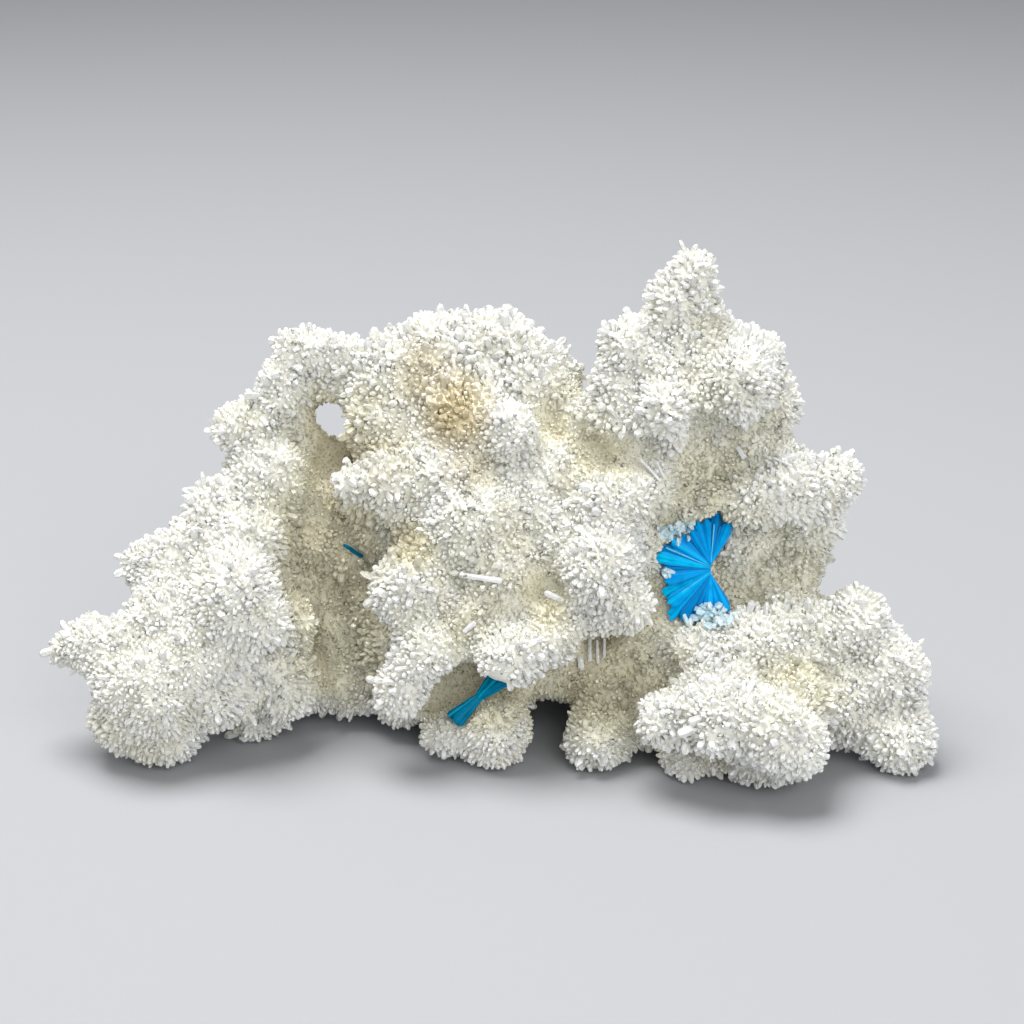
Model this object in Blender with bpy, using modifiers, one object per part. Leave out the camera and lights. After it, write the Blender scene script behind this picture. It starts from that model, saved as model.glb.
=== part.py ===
"""Cavansite on a knobbly cluster of stilbite crystals, at its real size.

The white stilbite grew as one piece: knobs run into each other, and every knob is set
with short blunt crystals. Three blue cavansite growths sit in its hollows: a half
rosette, a sheaf with a narrow waist and one small splinter.

Frame: metres, +Z up, the origin under the middle of the cluster on the surface it
stands on. The side with the cavansite faces -Y.
"""

import math
import random

import bmesh
import bpy
from mathutils import Matrix, Vector, noise
from mathutils.bvhtree import BVHTree

MM = 0.001

# Stilbite cluster, sizes in millimetres
CRYSTAL_REACH = 1.0
KNOB_SUBDIVISIONS = 3
BUD_SUBDIVISIONS = 2
BUD_SIZE = (0.30, 0.48)
LARGEST_BUD = 2.6
BUD_RISE = 0.7
BUD_AREA = 17.0
STALK_STEPS = (0.3, 0.6)
STALK_SHARE = 0.92
CREVICE_FILL = 0.9
VOXEL = 1.0
SMOOTHING_PASSES = 2
SMOOTHING = 0.5
ROUGHNESS_HEIGHT = 0.45
ROUGHNESS_SPACING = 4.0
BASE_TRIANGLES = 4600
FLOOR_CUT = 0.0
FLOOR_TOLERANCE = 1e-4

# Stilbite crystals big enough to be solids of their own form, fused to the cluster
BLUNT_CRYSTALS = 420
BLUNT_HEIGHT = (1.0, 1.8)
BLUNT_FACE_AREA = (1.4, 5.0)
BLUNT_TIP_SHARE = (0.45, 0.65)
LOW_CRYSTALS = 560
LOW_HEIGHT = (0.5, 1.1)
LOW_FACE_AREA = (1.8, 9.0)
BULGE_LIMIT = 0.25
CLEAR_HEIGHTS = 2.5
CLEAR_START = 0.01
FLOOR_CLEARANCE = 1.6

# Gap between the left edge and the dome, seen through from the front
GAP_MIDDLE = (-21.3, 9.0, 40.3)
GAP_LENGTH = 17.0
GAP_RADIUS = 2.7
GAP_TILT = -20.0

# Cavansite, sizes in millimetres, held this far off the stilbite
POCKET_GAP = 0.45
BLADE_SHOULDER = 0.84
BLADE_ROOT_SHARE = 0.03
PLEAT_ROLL = 24.0

# Half rosette: its hub, and each blade's direction in degrees and its length
FAN_HUB = (28.7, -7.2, 25.2)
FAN_LEAN = -20.0
FAN_HUB_RADIUS = 0.95
FAN_BLADE_WIDTHS = (0.9, 2.5)
FAN_BLADE_THICKNESS = 0.45
FAN_BLADES = [
    (66, 6.0),
    (83, 6.8),
    (97, 5.9),
    (108, 5.8),
    (121, 5.3),
    (134, 5.4),
    (147, 6.4),
    (159, 6.9),
    (168, 7.6),
    (180, 6.6),
    (192, 6.4),
    (206, 7.0),
    (217, 7.1),
    (228, 8.0),
    (238, 7.3),
    (250, 6.8),
    (266, 6.1),
    (282, 5.8),
    (294, 5.5),
]
FAN_DEPTH_SPREAD = 6.0

# Sheaf: its waist, the two directions that it opens to, and how far
SHEAF_WAIST = (-1.5, -13.8, 9.9)
SHEAF_DIRECTION = (0.72, 0.22, 0.56)
SHEAF_LENGTH = 4.4
SHEAF_BLADE_WIDTHS = (0.8, 1.7)
SHEAF_BLADE_THICKNESS = 0.7
SHEAF_OPENING = 12.0
SHEAF_BLADES = 6
SHEAF_SHIFT = 36.0
SHEAF_UNEVENNESS = 2.5
SHEAF_LENGTH_SPREAD = (0.9, 1.06)
SHEAF_WAIST_RADIUS = 0.6

# Splinter: its middle, direction and size
SPLINTER_MIDDLE = (-18.3, -1.6, 25.6)
SPLINTER_DIRECTION = (0.75, 0.1, -0.6)
SPLINTER_LENGTH = 3.1
SPLINTER_WIDTHS = (0.75, 0.45)
SPLINTER_THICKNESS = 0.5

# Each group of knobs has the place it grew from, then x, y, z of every knob's middle and
# its radius with the crystals on it, all in millimetres
KNOBS = {
    "left foot": (
        (-34.0, -3.0, 12.0),
        [
            (-56.3, -8.0, 14.0, 3.3),
            (-52.5, -9.0, 16.0, 4.4),
            (-48.5, -11.0, 14.5, 6.0),
            (-44.0, -13.0, 11.0, 8.0),
            (-47.0, -12.0, 6.5, 6.2),
            (-43.0, -12.5, 4.0, 5.6),
            (-37.0, -11.0, 15.0, 6.9),
            (-36.0, -12.0, 9.5, 5.8),
            (-28.5, -7.0, 11.5, 6.0),
            (-27.0, -8.0, 8.0, 4.6),
            (-31.5, -5.0, 3.4, 5.0),
        ],
    ),
    "left shoulder": (
        (-32.0, 4.0, 22.0),
        [
            (-45.0, -2.0, 23.5, 5.0),
            (-40.5, -3.0, 25.0, 5.6),
            (-42.5, -8.0, 19.5, 5.9),
            (-36.0, -8.0, 19.0, 6.0),
            (-33.0, -11.0, 23.0, 6.8),
            (-29.5, -12.0, 20.0, 4.8),
            (-26.5, -6.0, 17.5, 4.6),
        ],
    ),
    "left edge": (
        (-26.0, 9.0, 34.0),
        [
            (-36.0, 0.0, 31.0, 5.4),
            (-32.0, -4.0, 28.0, 6.0),
            (-29.5, 2.0, 34.5, 6.6),
            (-32.8, 4.0, 41.0, 4.9),
            (-29.5, 5.0, 39.5, 5.4),
            (-27.5, 5.0, 46.0, 4.4),
            (-26.0, 6.0, 51.5, 3.7),
            (-24.0, 6.5, 50.5, 4.2),
            (-20.0, 7.0, 49.5, 4.4),
            (-21.5, 9.0, 35.5, 4.2),
        ],
    ),
    "left hollow": (
        (-17.0, 14.0, 24.0),
        [
            (-25.0, 3.0, 26.0, 5.6),
            (-24.0, 4.0, 18.5, 5.4),
            (-21.0, 3.0, 12.5, 5.8),
            (-20.0, 4.0, 30.0, 5.2),
            (-18.0, 3.0, 23.0, 5.2),
            (-14.0, 1.0, 28.0, 5.8),
            (-16.0, 1.0, 17.0, 5.2),
            (-18.0, -6.0, 36.8, 3.2),
            (-17.5, -2.0, 33.8, 4.2),
        ],
    ),
    "dome": (
        (-2.0, 12.0, 34.0),
        [
            (-3.0, 13.0, 41.0, 13.6),
            (-13.0, 7.0, 46.0, 7.6),
            (-14.0, 4.0, 41.5, 6.8),
            (5.0, 7.0, 45.5, 7.8),
            (3.0, -3.5, 43.0, 4.4),
            (-3.0, 3.0, 40.5, 9.0),
            (-8.0, 10.0, 49.0, 6.8),
            (1.0, 9.0, 49.5, 6.8),
            (8.0, 4.0, 40.5, 5.6),
            (12.5, 1.0, 42.5, 4.8),
            (12.5, 4.0, 37.5, 5.4),
        ],
    ),
    "middle": (
        (-4.0, 4.0, 26.0),
        [
            (-12.0, -3.0, 35.5, 6.0),
            (-5.5, -3.0, 36.0, 6.0),
            (-2.5, -7.0, 31.5, 6.6),
            (1.0, -8.0, 25.5, 6.8),
            (-7.0, -6.0, 27.5, 6.4),
            (-10.5, -10.0, 23.5, 6.0),
            (-2.5, -9.0, 19.0, 6.7),
            (-8.5, -14.5, 16.5, 5.0),
            (-11.5, -15.0, 11.5, 4.4),
            (2.5, -16.0, 16.5, 5.0),
            (7.5, -12.0, 17.5, 5.0),
            (4.0, -4.0, 34.0, 5.6),
        ],
    ),
    "front lip": (
        (0.0, -2.0, 6.0),
        [
            (0.3, -12.0, 4.6, 6.2),
            (-5.5, -11.0, 3.8, 4.6),
        ],
    ),
    "right of middle": (
        (12.0, 4.0, 28.0),
        [
            (14.0, -12.0, 27.5, 6.2),
            (17.0, -13.0, 23.0, 5.0),
            (12.0, -10.0, 21.5, 5.4),
            (15.5, -8.0, 34.0, 5.8),
            (20.5, -6.0, 36.0, 4.8),
            (9.0, -2.0, 37.0, 5.0),
            (8.0, -6.0, 30.5, 5.2),
            (19.5, -5.0, 27.5, 5.0),
        ],
    ),
    "spire": (
        (25.0, 6.0, 43.0),
        [
            (26.2, 2.0, 62.6, 4.0),
            (23.5, 1.5, 58.5, 4.6),
            (26.2, 2.0, 57.5, 4.6),
            (25.5, 2.0, 53.0, 5.8),
            (17.5, -1.0, 53.5, 4.6),
            (16.0, -1.5, 48.5, 4.4),
            (22.0, -7.0, 47.0, 4.4),
            (16.5, -3.5, 44.0, 4.4),
            (31.5, -4.0, 49.5, 6.2),
            (34.5, 3.0, 51.0, 4.8),
            (30.5, 3.0, 53.0, 4.2),
            (36.5, 2.0, 45.0, 5.2),
            (21.5, 0.0, 41.0, 5.4),
            (16.5, -0.5, 39.0, 5.2),
            (29.0, 1.0, 41.5, 6.0),
            (34.0, 0.0, 40.0, 5.4),
            (25.5, 0.0, 36.5, 5.4),
        ],
    ),
    "right shelf": (
        (30.0, 6.0, 30.0),
        [
            (39.0, -4.0, 35.5, 6.0),
            (45.0, -3.0, 36.0, 4.6),
            (42.5, -2.0, 30.5, 5.4),
            (34.0, -6.0, 34.5, 4.8),
            (29.5, -4.0, 33.0, 4.8),
            (40.0, 1.0, 24.0, 6.2),
            (33.5, -0.5, 26.5, 5.8),
            (25.0, -1.5, 29.5, 5.4),
            (24.0, -2.5, 21.5, 6.0),
            (33.0, -1.0, 20.5, 5.4),
            (39.0, -4.0, 20.5, 5.2),
        ],
    ),
    "right foot": (
        (32.0, -5.0, 9.0),
        [
            (47.5, -9.0, 18.0, 5.9),
            (52.3, -11.0, 12.5, 5.8),
            (53.3, -14.0, 3.9, 5.6),
            (40.5, -10.0, 16.5, 6.4),
            (33.5, -12.0, 16.5, 6.0),
            (27.5, -10.5, 15.5, 5.4),
            (22.5, -21.5, 10.5, 4.8),
            (29.0, -23.0, 11.5, 6.0),
            (35.5, -24.5, 10.5, 5.9),
            (38.5, -25.0, 8.5, 5.2),
            (35.0, -18.5, 4.6, 6.0),
            (30.0, -17.0, 11.0, 6.5),
            (39.0, -17.0, 10.5, 6.0),
            (45.0, -12.0, 9.0, 6.0),
            (26.0, -16.0, 3.1, 4.8),
            (20.0, -9.0, 8.5, 5.8),
            (14.0, -13.0, 3.9, 5.6),
            (16.0, -7.0, 9.0, 6.4),
            (21.0, -5.5, 15.5, 5.6),
        ],
    ),
    "under the middle": (
        (-6.0, 6.0, 14.0),
        [
            (-19.5, 1.0, 5.6, 5.8),
            (-12.0, -4.0, 5.4, 5.0),
            (-26.0, 0.0, 5.0, 4.8),
            (0.0, -1.0, 9.0, 8.0),
            (-11.0, -2.0, 12.0, 7.5),
            (8.0, -2.0, 12.0, 8.0),
        ],
    ),
    "back": (
        (2.0, 8.0, 20.0),
        [
            (-41.0, 4.0, 12.0, 7.0),
            (-38.0, 6.0, 21.0, 6.8),
            (-31.0, 12.0, 6.6, 7.8),
            (-28.0, 14.0, 18.0, 8.0),
            (-28.0, 12.0, 29.0, 6.8),
            (-14.0, 17.0, 12.0, 9.5),
            (-13.0, 18.0, 27.0, 8.0),
            (-3.0, 22.0, 5.6, 7.2),
            (2.0, 20.3, 17.0, 10.0),
            (4.0, 19.0, 30.0, 8.5),
            (14.0, 15.0, 10.0, 9.0),
            (15.0, 12.0, 25.0, 9.5),
            (19.0, 11.0, 36.0, 7.5),
            (27.0, 13.0, 5.4, 7.0),
            (30.0, 10.0, 16.0, 8.5),
            (32.0, 9.0, 29.0, 8.0),
            (30.0, 8.0, 41.0, 6.4),
            (42.0, 2.0, 9.0, 7.0),
            (48.0, -5.0, 6.5, 5.6),
        ],
    ),
}


def clear_scene():
    for obj in list(bpy.data.objects):
        bpy.data.objects.remove(obj, do_unlink=True)


def new_collection(name):
    made = bpy.data.collections.new(name)
    bpy.context.scene.collection.children.link(made)
    return made


def finish(name, color, roughness):
    material = bpy.data.materials.new(name)
    material.use_nodes = True
    shader = material.node_tree.nodes["Principled BSDF"]
    shader.inputs["Base Color"].default_value = (*color, 1.0)
    shader.inputs["Roughness"].default_value = roughness
    shader.inputs["Metallic"].default_value = 0.0
    return material


def object_of(bm, name, collection, material=None):
    """Puts a bmesh in a new object, in metres, and frees it."""
    bmesh.ops.scale(bm, vec=Vector((MM, MM, MM)), verts=bm.verts)
    mesh = bpy.data.meshes.new(name)
    bm.to_mesh(mesh)
    bm.free()
    obj = bpy.data.objects.new(name, mesh)
    collection.objects.link(obj)
    if material:
        mesh.materials.append(material)
    return obj


def in_millimetres(obj):
    """A bmesh of the object's mesh, in millimetres."""
    bm = bmesh.new()
    bm.from_mesh(obj.data)
    bmesh.ops.scale(bm, vec=Vector((1 / MM, 1 / MM, 1 / MM)), verts=bm.verts)
    return bm


def back_in_metres(bm, obj):
    """Puts a bmesh in millimetres back in the object, and frees it."""
    bmesh.ops.scale(bm, vec=Vector((MM, MM, MM)), verts=bm.verts)
    bm.to_mesh(obj.data)
    bm.free()


def apply_modifiers(obj):
    """Swaps the object's mesh for the one that its modifiers make."""
    bpy.context.view_layer.update()
    graph = bpy.context.evaluated_depsgraph_get()
    mesh = bpy.data.meshes.new_from_object(obj.evaluated_get(graph))
    obj.modifiers.clear()
    obj.data = mesh
    return obj


def random_direction(rng):
    z = rng.uniform(-1.0, 1.0)
    turn = rng.uniform(0.0, 2.0 * math.pi)
    flat = math.sqrt(1.0 - z * z)
    return Vector((flat * math.cos(turn), flat * math.sin(turn), z))


def add_ball(bm, middle, radius, subdivisions):
    bmesh.ops.create_icosphere(
        bm, subdivisions=subdivisions, radius=radius, matrix=Matrix.Translation(middle)
    )


def knob_mesh(middle, radius, root, rng):
    """A knob with smaller buds on it, and the thick stalk that it grew on.

    Every ball is larger by the crevice fill, which comes off again under one skin.
    """
    bm = bmesh.new()
    add_ball(bm, middle, radius + CREVICE_FILL, KNOB_SUBDIVISIONS)
    for step in STALK_STEPS:
        stalk = radius * STALK_SHARE + CREVICE_FILL
        add_ball(bm, middle.lerp(root, step), stalk, BUD_SUBDIVISIONS)
    buds = round(4.0 * math.pi * radius * radius / BUD_AREA)
    for _ in range(buds):
        size = min(radius * rng.uniform(*BUD_SIZE), LARGEST_BUD)
        place = middle + random_direction(rng) * (radius + BUD_RISE - size)
        add_ball(bm, place, size + CREVICE_FILL, BUD_SUBDIVISIONS)
    mesh = bpy.data.meshes.new("knob")
    bm.to_mesh(mesh)
    bm.free()
    return mesh


def keep_largest_shell(bm):
    """Drops sealed pockets and loose crumbs that the voxel surface leaves."""
    left = set(bm.verts)
    shells = []
    while left:
        front = [left.pop()]
        shell = list(front)
        while front:
            vert = front.pop()
            for edge in vert.link_edges:
                other = edge.other_vert(vert)
                if other in left:
                    left.remove(other)
                    front.append(other)
                    shell.append(other)
        shells.append(shell)
    shells.sort(key=len)
    for shell in shells[:-1]:
        bmesh.ops.delete(bm, geom=shell, context="VERTS")


def roughen(bm):
    """Moves each point a little along its normal, in a pattern of the knobs' own scale."""
    bm.normal_update()
    for vert in bm.verts:
        swell = noise.noise(vert.co / ROUGHNESS_SPACING)
        vert.co += vert.normal * swell * ROUGHNESS_HEIGHT


def add_skin(obj):
    """Joins everything in the object under one outer skin."""
    remesh = obj.modifiers.new("one skin", "REMESH")
    remesh.mode = "VOXEL"
    remesh.voxel_size = VOXEL * MM


def gap_cutter(cutters):
    """A long rounded plug through the cluster, where the growths left a gap."""
    bm = bmesh.new()
    add_ball(bm, Vector(), GAP_RADIUS, BUD_SUBDIVISIONS)
    stretch = Vector((1.0, GAP_LENGTH / GAP_RADIUS, 1.0))
    bmesh.ops.scale(bm, vec=stretch, verts=bm.verts)
    cutter = object_of(bm, "gap", cutters)
    place(cutter, GAP_MIDDLE, (math.radians(GAP_TILT), 0.0, 0.0))
    return cutter


def cut_at_floor(bm):
    """Trims the feet flat where the cluster stands."""
    geometry = bm.verts[:] + bm.edges[:] + bm.faces[:]
    cut = bmesh.ops.bisect_plane(
        bm,
        geom=geometry,
        dist=FLOOR_TOLERANCE,
        plane_co=Vector((0.0, 0.0, FLOOR_CUT)),
        plane_no=Vector((0.0, 0.0, -1.0)),
        clear_outer=True,
    )
    rim = [item for item in cut["geom_cut"] if isinstance(item, bmesh.types.BMEdge)]
    bmesh.ops.contextual_create(bm, geom=rim)
    bmesh.ops.holes_fill(bm, edges=[e for e in bm.edges if e.is_boundary], sides=0)


def free_faces(bm, areas, height):
    """Outward-bulging faces of a fitting size with open space above them."""
    bm.normal_update()
    tree = BVHTree.FromBMesh(bm)
    found = []
    for face in bm.faces:
        middle = face.calc_center_median()
        if not areas[0] < face.calc_area() < areas[1] or middle.z < height * FLOOR_CLEARANCE:
            continue
        neighbours = [f for edge in face.edges for f in edge.link_faces if f is not face]
        rises = [(f.calc_center_median() - middle).dot(face.normal) for f in neighbours]
        start = middle + face.normal * CLEAR_START
        hit = tree.ray_cast(start, face.normal, height * CLEAR_HEIGHTS)
        if max(rises) < BULGE_LIMIT and hit[0] is None:
            found.append(face)
    return found


def grow_blunt_crystals(bm, rng):
    """Draws single faces out into blunt crystals, flat on their sides and on top."""
    faces = free_faces(bm, BLUNT_FACE_AREA, BLUNT_HEIGHT[1])
    chosen = rng.sample(faces, min(BLUNT_CRYSTALS, len(faces)))
    tips = bmesh.ops.extrude_discrete_faces(bm, faces=chosen)["faces"]
    for tip in tips:
        share = rng.uniform(*BLUNT_TIP_SHARE)
        middle = tip.calc_center_median()
        rise = tip.normal * rng.uniform(*BLUNT_HEIGHT)
        for vert in tip.verts:
            vert.co = middle + (vert.co - middle) * share + rise


def grow_low_crystals(bm, rng):
    """Raises single faces to a point, for the crystals that stand less proud."""
    faces = free_faces(bm, LOW_FACE_AREA, LOW_HEIGHT[1])
    chosen = rng.sample(faces, min(LOW_CRYSTALS, len(faces)))
    poked = bmesh.ops.poke(bm, faces=chosen)
    bm.normal_update()
    for vert in poked["verts"]:
        vert.co += vert.normal * rng.uniform(*LOW_HEIGHT)


def all_knobs(collection, rng):
    bm = bmesh.new()
    for root, knobs in KNOBS.values():
        for x, y, z, radius in knobs:
            knob = knob_mesh(Vector((x, y, z)), radius - CRYSTAL_REACH, Vector(root), rng)
            bm.from_mesh(knob)
            bpy.data.meshes.remove(knob)
    return object_of(bm, "stilbite_cluster", collection)


def wrap_in_one_skin(cluster, cutters):
    """One skin over all knobs, with their crevices part filled and the gap cut through."""
    add_skin(cluster)
    fill = cluster.modifiers.new("take the fill off", "DISPLACE")
    fill.mid_level = 0.0
    fill.strength = -CREVICE_FILL * MM
    add_skin(cluster)
    cut = cluster.modifiers.new("gap", "BOOLEAN")
    cut.operation = "DIFFERENCE"
    cut.solver = "EXACT"
    cut.object = gap_cutter(cutters)
    add_skin(cluster)
    apply_modifiers(cluster)


def smooth_and_roughen(cluster):
    bm = in_millimetres(cluster)
    keep_largest_shell(bm)
    for _ in range(SMOOTHING_PASSES):
        bmesh.ops.smooth_vert(
            bm, verts=bm.verts, factor=SMOOTHING, use_axis_x=True, use_axis_y=True, use_axis_z=True
        )
    roughen(bm)
    back_in_metres(bm, cluster)


def thin_out_faces(cluster):
    cluster.data.calc_loop_triangles()
    decimate = cluster.modifiers.new("few faces", "DECIMATE")
    decimate.ratio = BASE_TRIANGLES / len(cluster.data.loop_triangles)
    apply_modifiers(cluster)


def stilbite_cluster(collection, cutters, material):
    """The white mass: knobs under one skin, set with blunt crystals."""
    rng = random.Random(7)
    cluster = all_knobs(collection, rng)
    wrap_in_one_skin(cluster, cutters)
    smooth_and_roughen(cluster)
    thin_out_faces(cluster)
    bm = in_millimetres(cluster)
    cut_at_floor(bm)
    grow_blunt_crystals(bm, rng)
    grow_low_crystals(bm, rng)
    back_in_metres(bm, cluster)
    cluster.data.materials.clear()
    cluster.data.materials.append(material)
    return cluster


def add_blade(bm, length, widths, thickness, turn, lean, roll):
    """A flat four-sided blade that widens from the hub and ends in a point."""
    shoulder = length * BLADE_SHOULDER
    start = -length * BLADE_ROOT_SHARE
    cone = bmesh.ops.create_cone(
        bm,
        cap_ends=True,
        segments=4,
        radius1=widths[0] / 2,
        radius2=widths[1] / 2,
        depth=shoulder - start,
        matrix=Matrix.Translation((0.0, 0.0, (shoulder + start) / 2)),
    )
    caps = {face for vert in cone["verts"] for face in vert.link_faces}
    outer = max(caps, key=lambda face: face.calc_center_median().z)
    tip = bmesh.ops.poke(bm, faces=[outer])["verts"][0]
    tip.co.z = length
    blade = cone["verts"] + [tip]
    flatten = Matrix.Diagonal((1.0, thickness, 1.0, 1.0))
    rolled = Matrix.Rotation(math.radians(roll), 4, "Z")
    leant = Matrix.Rotation(math.radians(lean), 4, "X")
    turned = Matrix.Rotation(math.radians(90.0 - turn), 4, "Y")
    bmesh.ops.transform(bm, matrix=turned @ leant @ rolled @ flatten, verts=blade)


def blade_object(name, cutters, *blade):
    bm = bmesh.new()
    add_blade(bm, *blade)
    return object_of(bm, name, cutters)


def grown_together(name, parts, cutters, material, hub_radius, blades):
    """One solid of blades that start inside a small round hub."""
    bm = bmesh.new()
    add_ball(bm, Vector(), hub_radius, BUD_SUBDIVISIONS)
    body = object_of(bm, name, parts, material)
    for number, blade in enumerate(blades):
        piece = blade_object(f"{name} blade {number}", cutters, *blade)
        join = body.modifiers.new("grow together", "BOOLEAN")
        join.operation = "UNION"
        join.solver = "EXACT"
        join.object = piece
    apply_modifiers(body)
    body.data.materials.clear()
    body.data.materials.append(material)
    return body


def place(obj, place_mm, rotation):
    obj.location = Vector(place_mm) * MM
    obj.rotation_euler = rotation


def cavansite_fan(parts, cutters, material):
    """Half a rosette: pleated blades spread from the top, round the left, to the foot."""
    blades = []
    for number, (turn, length) in enumerate(FAN_BLADES):
        side = 1.0 if number % 2 else -1.0
        lean = side * FAN_DEPTH_SPREAD
        shape = (length, FAN_BLADE_WIDTHS, FAN_BLADE_THICKNESS)
        blades.append((*shape, turn, lean, side * PLEAT_ROLL))
    fan = grown_together("cavansite_fan", parts, cutters, material, FAN_HUB_RADIUS, blades)
    place(fan, FAN_HUB, (math.radians(FAN_LEAN), 0.0, 0.0))
    return fan


def cavansite_bow_tie(parts, cutters, material):
    """A sheaf of blades, narrow at the waist and open at both ends."""
    rng = random.Random(3)
    blades = []
    for end, shift in ((0.0, 0.0), (180.0, SHEAF_SHIFT)):
        for number in range(SHEAF_BLADES):
            around = math.radians(360.0 * number / SHEAF_BLADES + shift)
            turn = 90.0 + end + SHEAF_OPENING * math.cos(around)
            turn += rng.uniform(-SHEAF_UNEVENNESS, SHEAF_UNEVENNESS)
            lean = SHEAF_OPENING * math.sin(around)
            lean += rng.uniform(-SHEAF_UNEVENNESS, SHEAF_UNEVENNESS)
            roll = 90.0 - math.degrees(around)
            length = SHEAF_LENGTH * rng.uniform(*SHEAF_LENGTH_SPREAD)
            shape = (length, SHEAF_BLADE_WIDTHS, SHEAF_BLADE_THICKNESS)
            blades.append((*shape, turn, lean, roll))
    sheaf = grown_together(
        "cavansite_bow_tie", parts, cutters, material, SHEAF_WAIST_RADIUS, blades
    )
    aim = Vector(SHEAF_DIRECTION).to_track_quat("Z", "Y").to_euler()
    place(sheaf, SHEAF_WAIST, aim)
    return sheaf


def cavansite_sliver(parts, material):
    """One splinter lying in the left hollow."""
    bm = bmesh.new()
    shape = (SPLINTER_LENGTH, SPLINTER_WIDTHS, SPLINTER_THICKNESS)
    add_blade(bm, *shape, 90.0, 0.0, 0.0)
    bmesh.ops.translate(bm, vec=Vector((0.0, 0.0, -SPLINTER_LENGTH / 2)), verts=bm.verts)
    sliver = object_of(bm, "cavansite_sliver", parts, material)
    aim = Vector(SPLINTER_DIRECTION).to_track_quat("Z", "Y").to_euler()
    place(sliver, SPLINTER_MIDDLE, aim)
    return sliver


def pocket_for(cluster, piece, cutters):
    """Hollows the stilbite out where a cavansite growth sits, a little wider than it."""
    bpy.context.view_layer.update()
    bm = bmesh.new()
    bm.from_mesh(piece.data)
    bmesh.ops.transform(bm, matrix=piece.matrix_world, verts=bm.verts)
    bmesh.ops.scale(bm, vec=Vector((1 / MM, 1 / MM, 1 / MM)), verts=bm.verts)
    hull = bmesh.ops.convex_hull(bm, input=bm.verts)
    spare = set(hull["geom_interior"] + hull["geom_unused"])
    inner = [item for item in spare if isinstance(item, bmesh.types.BMVert)]
    bmesh.ops.delete(bm, geom=inner, context="VERTS")
    keep = {item for item in hull["geom"] if isinstance(item, bmesh.types.BMFace)}
    extra = [face for face in bm.faces if face not in keep]
    bmesh.ops.delete(bm, geom=extra, context="FACES_ONLY")
    bmesh.ops.recalc_face_normals(bm, faces=bm.faces)
    bm.normal_update()
    for vert in bm.verts:
        vert.co += vert.normal * POCKET_GAP
    cutter = object_of(bm, f"pocket {piece.name}", cutters)
    cut = cluster.modifiers.new("pocket", "BOOLEAN")
    cut.operation = "DIFFERENCE"
    cut.solver = "EXACT"
    cut.object = cutter


def stilbite_white():
    return finish("stilbite white", (0.90, 0.89, 0.85), 0.35)


def cavansite_blue():
    return finish("cavansite blue", (0.0, 0.27, 0.65), 0.25)


def main():
    clear_scene()
    parts = new_collection("cavansite on stilbite")
    cutters = new_collection("cutters")
    cutters.hide_render = True
    blue = cavansite_blue()
    cluster = stilbite_cluster(parts, cutters, stilbite_white())
    pieces = [
        cavansite_fan(parts, cutters, blue),
        cavansite_bow_tie(parts, cutters, blue),
        cavansite_sliver(parts, blue),
    ]
    for piece in pieces:
        pocket_for(cluster, piece, cutters)
    apply_modifiers(cluster)
    for cutter in cutters.objects:
        cutter.display_type = "WIRE"
        cutter.hide_render = True


main()
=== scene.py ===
# %% [markdown]
# # Cavansite on stilbite
# This is a mineral specimen: a white cluster of stilbite with three blue cavansite
# growths in its hollows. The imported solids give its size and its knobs. This script adds
# what the solids leave out: the thousands of small glassy stilbite crystals, the fine
# blades of the cavansite, and the materials.

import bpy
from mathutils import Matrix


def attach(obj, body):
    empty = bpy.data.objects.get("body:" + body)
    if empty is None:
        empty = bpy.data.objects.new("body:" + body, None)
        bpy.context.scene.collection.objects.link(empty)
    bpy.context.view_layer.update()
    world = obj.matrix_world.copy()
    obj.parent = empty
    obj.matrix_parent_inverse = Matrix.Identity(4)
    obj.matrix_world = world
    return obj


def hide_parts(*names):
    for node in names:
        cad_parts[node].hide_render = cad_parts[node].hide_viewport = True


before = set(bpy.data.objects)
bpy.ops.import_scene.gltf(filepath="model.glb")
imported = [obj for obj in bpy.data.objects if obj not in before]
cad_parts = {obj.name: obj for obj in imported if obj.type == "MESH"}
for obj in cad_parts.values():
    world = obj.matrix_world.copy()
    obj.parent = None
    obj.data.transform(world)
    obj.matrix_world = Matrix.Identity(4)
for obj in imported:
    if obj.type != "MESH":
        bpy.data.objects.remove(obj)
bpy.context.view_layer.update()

# %% Blender's modules and the unit
import math
import random

import bmesh
import bpy
import numpy as np
from mathutils import Matrix, Vector, noise
from mathutils.bvhtree import BVHTree

MM = 0.001


def linked(name, data):
    obj = bpy.data.objects.new(name, data)
    bpy.context.scene.collection.objects.link(obj)
    return obj


def mesh_of(bm, name):
    mesh = bpy.data.meshes.new(name)
    bm.to_mesh(mesh)
    bm.free()
    return mesh


# %% [markdown]
# The camera goes where the photographer stood: a little above the specimen, looking
# 20 degrees down, about 0.3 m away. The floor and the light are plain, so that nothing
# takes the eye from the crystals.

# %% Camera
CAMERA_TARGET = Vector((2.8, 0.0, 30.5)) * MM
CAMERA_DISTANCE = 0.3
CAMERA_ELEVATION = math.radians(20.0)
VIEW_WIDTH = 0.1357

back_to_camera = Vector((0.0, -math.cos(CAMERA_ELEVATION), math.sin(CAMERA_ELEVATION)))
camera_data = bpy.data.cameras.new("camera")
camera_data.sensor_width = 36.0
camera_data.lens = camera_data.sensor_width * CAMERA_DISTANCE / VIEW_WIDTH
camera_data.clip_start = 0.01
camera = linked("camera", camera_data)
camera.location = CAMERA_TARGET + back_to_camera * CAMERA_DISTANCE
camera.rotation_euler = (-back_to_camera).to_track_quat("-Z", "Y").to_euler()
bpy.context.scene.camera = camera
print("lens", round(camera_data.lens, 1), "mm")

# %% Floor
FLOOR_SIZE = 6.0
FLOOR_GREY = (0.36, 0.37, 0.39)
FLOOR_ROUGHNESS = 0.8

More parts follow.
